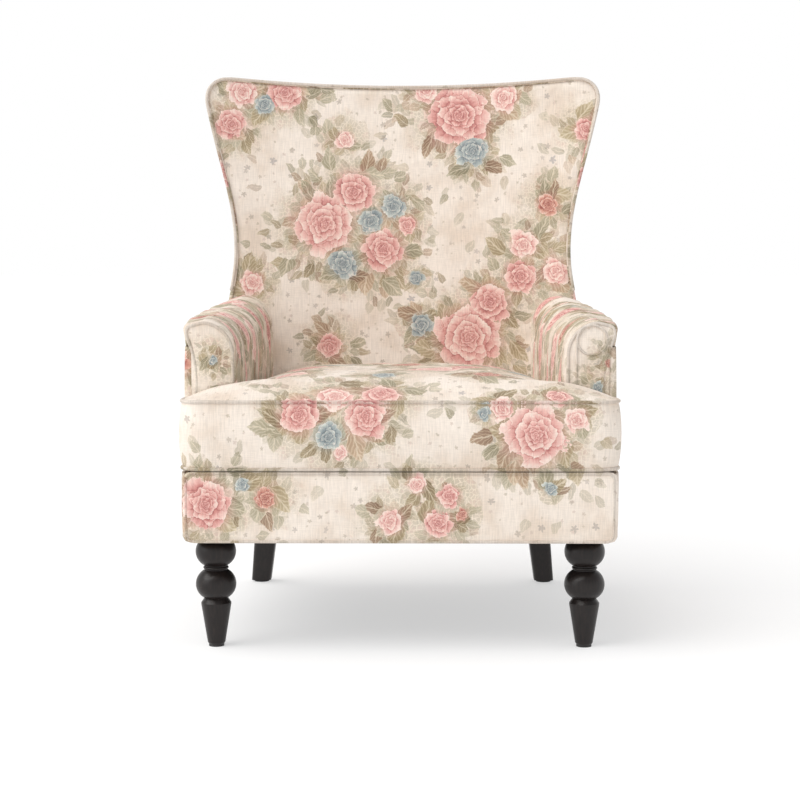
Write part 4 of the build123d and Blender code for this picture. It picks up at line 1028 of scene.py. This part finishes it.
def arm_facing_loop():
    """The outline of an arm's front panel, for the right arm."""
    inset, foot, y = 0.0055, 0.3075, ARM_START
    inner, outer, top = arm_inner_x(y), side_x(y) + ROLL_OUT, arm_top_z(y)
    start, shoulder, lip = (inner + inset, top - ROLL_DROP), top - ROLL_SHOULDER, top - ARM_LIP
    bend, crest = (inner + 0.015 + inset * 0.8, shoulder - inset * 0.7), (inner + ROLL_TOP_IN, top - inset)
    side = outer - ROLL_OUT - inset
    line = [(inner + inset, foot), start] + arc_through(start, bend, crest, 12)[1:]
    line += [(outer - ROLL_EDGE - inset * 0.5, top - 0.006 - inset), (outer - inset, shoulder - inset * 0.5)]
    line += [(side - 0.0035, (top - 0.022 + lip) / 2), (side - 0.005, lip), (side - 0.006, foot)]
    middle = ((line[0][0] + line[-1][0]) / 2, foot)
    return resample(np.array([middle] + line[::-1] + [middle]), 0.006)


def make_arm_facing(side, name):
    """The panel on an arm's front."""
    loop, spine = arm_facing_loop(), ridge(0.33, 0.515, x=0.325)
    rows, uvs = [], []
    for t in (0.0, 0.25, 0.5, 0.7, 0.84, 0.93, 0.98, 1.0):
        ring = inward(loop, spine, t)
        puff = 0.0035 * (1 - t**2.5)
        rows.append([(side * x, FRONT + 0.0955 - puff, z) for x, z in ring])
        uvs.append([(x * side, z) for x, z in ring])
    rows.append([(side * x, FRONT + 0.1015, z) for x, z in loop])
    uvs.append([(x * side, z + 0.006) for x, z in loop])
    piece = add_grid(name, rows, uvs, facing_cloth, flip=side < 0)
    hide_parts(name.replace("_facing_cover", "_front_panel"))


def make_arm_scroll():
    """The round piping on the right arm's front, and the seam below its left side."""
    x, z, radius, face = 0.326, 0.520, 0.0255, FRONT + 0.0922
    turn = np.linspace(math.pi, -math.pi, 49)
    ring = [(x + radius * math.cos(a), face, z + radius * math.sin(a)) for a in turn]
    tube("right_arm_scroll_piping", ring, 0.0023, WELTS["right_arm_welt"])
    start, fall = np.array([0.3005, FRONT + 0.0926, 0.517]), np.array([-0.0015, 0.0016, -0.206])
    seam = [start + fall * t for t in np.linspace(0, 1, 26)]
    tube("right_arm_front_seam", seam, 0.0020, WELTS["right_arm_welt"])


def make_outside_arm(side, name):
    """The bowed cover down the outside of arm and base."""

    def end(x, z):
        return back_point(x, z, 0.0)[1] - FRONT - 0.0004

    def bowed(y, z):
        puff = 0.0025 * max(math.sin(math.pi * min((z - PANEL_LOW) / 0.33, 1.0)), 0.0) ** 0.5
        return side_x(y) + puff * min(1, (y - 0.012) / 0.02)

    rows, uvs = [], []
    fronts = np.r_[0.0143, np.linspace(0.020, ARM_START, 8)]
    for z in np.r_[PANEL_LOW, PANEL_LOW + 0.002, np.linspace(PANEL_LOW + 0.010, BORDER_TOP, 10)]:
        ys = np.r_[fronts, np.linspace(ARM_START, end(0.345, z), 40)[1:]]
        cut, tuck = round_off(min(z - PANEL_LOW, BORDER_TOP - z + 0.003)), 0.002 if z == PANEL_LOW else 0
        xs = [bowed(y, z) - tuck - cut * (1 - smoothstep(y, 0.014, 0.045)) for y in ys]
        rows.append([(side * x, FRONT + y, z) for x, y in zip(xs, ys)])
        uvs.append([(side * y, z) for y in ys])
    base = add_grid(name + "_base", rows, uvs, side_cloth, flip=side < 0)
    rows, uvs = [], []
    wrap = ((0.0130, 0.0985), (0.0075, 0.0975), (0.0030, 0.0978), (0.0008, 0.0995))
    for share in np.linspace(0, 1, 14):
        z = BORDER_TOP + 0.001 + (arm_top_z(ARM_START) - ARM_LIP - 0.0014 - BORDER_TOP) * share
        row = [(side * (side_x(ARM_START) - inward_by), FRONT + y, z) for inward_by, y in wrap]
        uv = [(side * (ARM_START - inward_by), z) for inward_by, _ in wrap]
        for c in np.linspace(0, 1, 40):
            z = BORDER_TOP
            for _ in range(4):
                y = ARM_START + (end(0.347, z) - ARM_START) * c
                z = BORDER_TOP + (arm_top_z(y) - ARM_LIP - 0.0004 - BORDER_TOP) * share
            row.append((side * bowed(y, z), FRONT + y, z))
            uv.append((side * y, z))
        rows.append(row)
        uvs.append(uv)
    upper = add_grid(name, rows, uvs, side_cloth, flip=side < 0)
    b = bmesh.new()
    b.from_mesh(base.data)
    b.from_mesh(upper.data)
    bmesh.ops.remove_doubles(b, verts=b.verts, dist=5e-4)
    b.to_mesh(upper.data)
    b.free()
    bpy.data.objects.remove(base)
    for p in upper.data.polygons:
        p.use_smooth = True
    thicken(upper, 0.006)
    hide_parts(name.replace("_cover", "_panel"))


# ---------------------------------------------------------------- base
SLOT_FILL = 0.0042  # how far the cloth over the front rail's edge stands above the wood
BORDER_R = 0.011


def round_off(distance):
    """How far a rounded corner stands in from its sharp one, this far from the edge."""
    return BORDER_R - math.sqrt(max(BORDER_R**2 - max(BORDER_R - distance, 0.0) ** 2, 0.0))


def make_front_border():
    """The cover over the front rail, rounded at its ends, with the piping round it."""
    half, r = BASE_HALF, 0.0085
    plan = [(-half, 0.0139), (-half, 0.005 + r)]
    plan += [(-half + r - r * math.cos(a), 0.005 + r - r * math.sin(a)) for a in np.linspace(0, math.pi / 2, 6)[1:]]
    line = np.array(plan + [(-x, y) for x, y in plan[::-1]])
    inner = resample(line[6:8], 0.012)
    line = np.vstack([line[:7], inner[1:-1], line[7:]])
    run = lengths(line) - lengths(line)[-1] / 2
    normal = outward(line)
    rows, uvs = [], []
    top = BORDER_TOP + SLOT_FILL
    height = top - PANEL_LOW
    ends = np.array([0.0, 0.0015, 0.005])
    for drop in np.r_[ends, np.linspace(0.012, height - 0.012, 12), height - ends[::-1]]:
        end = min(drop, height - drop)
        tuck = 0.003 if end < 0.001 else (0.001 if end < 0.002 else 0.0)
        puff = 0.003 * max(math.sin(math.pi * drop / height), 0.0) ** 0.6 - tuck
        out = line + normal * puff
        out[:, 0] -= np.sign(out[:, 0]) * round_off(end) * (np.abs(out[:, 0]) > 0.33)
        rows.append([(x, FRONT + y, top - drop) for x, y in out])
        uvs.append(beside(run, -0.123 - drop))
    piece = add_grid("front_border_cover", rows, uvs, seat_cloth, flip=True)
    thicken(piece, 0.004)
    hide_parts("front_border")
    half, low, high = BASE_HALF - 0.0055, PANEL_LOW + 0.0028, top - 0.0022
    path = rounded_loop([(-half, low), (half, low), (half, high), (-half, high)], [BORDER_R] * 4, 0.006)
    piping = tube("base_piping", [(x, FRONT + 0.0045, z) for x, z in path], 0.0027, WELTS["base_welt"])
    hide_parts("base_welt")


def t_corners(half, front, neck, gap, rear):
    """The corners of a T-shaped plan, with ears in front of the arms and a gap beside them."""
    right = [(half, front), (half, neck), (arm_inner_x(neck) - gap, neck), (arm_inner_x(rear) - gap, rear)]
    return right + [(-x, y) for x, y in right[::-1]]


def t_loop(corners, front, outer, notch, step):
    """A closed T-shaped outline that starts and ends in the middle of its rear edge."""
    radii = [front, outer, notch, outer, outer, notch, outer, front]
    points = rounded_loop(corners, radii, step)
    rear = max(y for _, y in corners)
    behind = np.nonzero((np.abs(points[:, 1] - rear) < 1e-6) & (np.abs(points[:, 0]) < 0.02))[0]
    start = behind[np.argmin(np.abs(points[behind, 0]))]
    half = np.vstack([points[start:-1], points[:start]])
    half = half[: next(i for i in range(5, len(half)) if half[i][0] * half[5][0] <= 0)]
    half[0] = (0.0, rear)
    half = np.vstack([half, [(0.0, min(y for _, y in corners))]])
    loop = np.vstack([half, half[-2::-1] * (-1, 1)])
    return loop[::-1] if loop[5][0] > 0 else loop


T_SPINE = ridge(0.060, 0.450)


def cushion_room(y):
    """How far the cushion's band may swell: well in front of the arms, little between them, none at the zip."""
    ears, arms, rear = 0.0085, 0.0030, 0.0008
    between = ears + (arms - ears) * smoothstep(y, 0.070, 0.100)
    return between + (rear - between) * smoothstep(y, 0.500, 0.545)


def make_cushion():
    """The loose cushion: one closed, crowned cover between its two piped edges."""
    half, front, neck, rear = 0.365, 0.005, 0.087, 0.555
    loop = t_loop(t_corners(half, front, neck, 0.0065, rear), 0.036, 0.024, 0.012, 0.010)
    run = lengths(loop)
    run = run - run[-1] / 2
    rows, uvs = [], []

    def crown(x, y):
        edge = np.interp(y, [0.0, neck, neck + 0.001, rear], [half, half, 0.300, 0.250])
        shape = 1.0
        for d, width in ((max(edge - abs(x), 0.0), 0.15), (y - front, 0.15), (rear - y, 0.13)):
            shape *= 1 - (1 - min(max(d / width, 0.0), 1.0)) ** 2.4
        dent = 0.0016 * math.sin(23 * x + 1.2) * math.sin(17 * y + 0.4) + 0.0009 * math.sin(61 * x - 35 * y)
        return (CUSHION_RISE + dent) * shape

    low, high = CUSHION_LOW + 0.0006, CUSHION_EDGE - 0.0005
    for t in (0.0, 0.25, 0.5, 0.7, 0.85, 0.95, 1.0):
        ring = inward(loop, T_SPINE, t)
        rows.append([(x, FRONT + y, low) for x, y in ring])
        uvs.append([(x, -y - 0.12) for x, y in ring])
    normal = outward(loop)
    room = np.array([cushion_room(y) for _, y in loop])[:, None]
    for share in np.linspace(0, 1, 13):
        ring = loop + normal * (0.85 * room - 0.0008) * max(math.sin(math.pi * share), 0.0) ** 0.7
        z = low + (high - low) * share
        rows.append([(x, FRONT + y, z) for x, y in ring])
        uvs.append(beside(run, z - CUSHION_EDGE))
    for t in 1 - np.linspace(0, 1, 30) ** 1.15:
        ring = inward(loop, T_SPINE, t)
        rows.append([(x, FRONT + y, high + crown(x, y)) for x, y in ring])
        uvs.append([(x, y - 0.005) for x, y in ring])
    piece = add_grid("seat_cushion", rows, uvs, seat_cloth, body="cushion")
    _, y_all, z_all = vertices(piece).T
    held = (np.abs(z_all - low) < 2e-4) | (np.abs(z_all - high) < 2e-4) | (y_all > FRONT + 0.548)
    cap = np.array([0.25 * cushion_room(y - FRONT) for y in y_all])
    cap = np.where(z_all > high + 2e-4, 0.006, cap)
    inflate(piece, held, 3.0, cap)
    subdivide(piece)
    covers = ("cushion_top_cover", "cushion_bottom_cover", "cushion_boxing", "cushion_zip_boxing")
    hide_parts("cushion_core", *covers)


def make_deck():
    """The padded platform that the cushion lies on."""
    loop = t_loop(t_corners(0.3515, 0.0155, 0.099, 0.0015, 0.588), 0.006, 0.006, 0.004, 0.012)
    top, low = 0.3036, 0.2845
    rows, uvs = [], []
    for t in (0.0, 0.25, 0.5, 0.7, 0.85, 0.95):
        ring = inward(loop, T_SPINE, t)
        rows.append([(x, FRONT + y, top) for x, y in ring])
        uvs.append([(x, y) for x, y in ring])
    for z, pull in ((0.3030, 0.002), (0.3005, 0.0005), (0.296, 0.0), (0.290, 0.0), (low, 0.001)):
        ring = loop * (1 - pull)
        rows.append([(x, FRONT + y, z) for x, y in ring])
        uvs.append([(x, y - (top - z)) for x, y in ring])
    for t in (0.6, 0.0):
        ring = inward(loop, T_SPINE, t)
        rows.append([(x, FRONT + y, low) for x, y in ring])
        uvs.append([(x, y) for x, y in ring])
    piece = add_grid("deck_cover", rows, uvs, deck_cloth, flip=True)
    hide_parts("deck_pad")


def make_dust_cover():
    """The thin black cloth tacked under the seat."""
    corners = [(0.346, 0.019), (0.326, 0.540), (0.300, 0.600), (-0.300, 0.600), (-0.326, 0.540), (-0.346, 0.019)]
    loop = rounded_loop(corners, [0.004] * 6, 0.015)
    rows, uvs = [], []
    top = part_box("dust_cover")[1].z - 0.0002
    for t in (0.0, 0.2, 0.4, 0.6, 0.8, 0.92, 1.0):
        ring = inward(loop, ridge(0.25, 0.38), t)
        rows.append([(x, FRONT + y, top - 0.0012 * (1 - t)) for x, y in ring])
        uvs.append([(x, y) for x, y in ring])
    piece = add_grid("dust_cover_cloth", rows, uvs, black_cloth)
    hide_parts("dust_cover")


black_cloth = coarse_material("black_cloth", (0.012, 0.012, 0.012), 0.0012)
make_inside_back()
make_back_edge()
make_outside_back()
make_tuck_panel()
make_front_border()
make_cushion()
make_deck()
make_dust_cover()
for side, word in ((-1, "left"), (1, "right")):
    make_arm(side, word + "_arm_cushioning")
    make_arm_facing(side, word + "_arm_facing_cover")
    make_outside_arm(side, word + "_outside_arm_cover")
make_arm_scroll()

# ---------------------------------------------------------------- carried-over parts
FINISHES = {
    "leg_wood": lacquer_material(),
    "frame_wood": raw_wood_material(),
    "zinc_steel": metal_material("zinc_steel", (0.62, 0.62, 0.60), 0.38, 60.0),
    "zip_metal": metal_material("zip_metal", (0.62, 0.55, 0.42), 0.34, 300.0),
    "zip_tape": coarse_material("zip_tape", srgb("DCCFBE"), 0.0009),
    "glide": coarse_material("glide", (0.02, 0.018, 0.018), 0.002, 0.55),
    "burlap": coarse_material("burlap", srgb("B79A6C"), 0.0022),
    "floral_fabric": deck_cloth,
    "foam": coarse_material("foam", srgb("EFE9D8"), 0.003),
    "deck_cloth": deck_cloth,
    "black_cloth": black_cloth,
}
slots = {s["node"]: s["material_slot"] for s in frame["record"]["subparts"]}
for node, piece in frame["nodes"].items():
    piece.data.materials.clear()
    piece.data.materials.append(WELTS.get(node) or FINISHES[slots[node]])
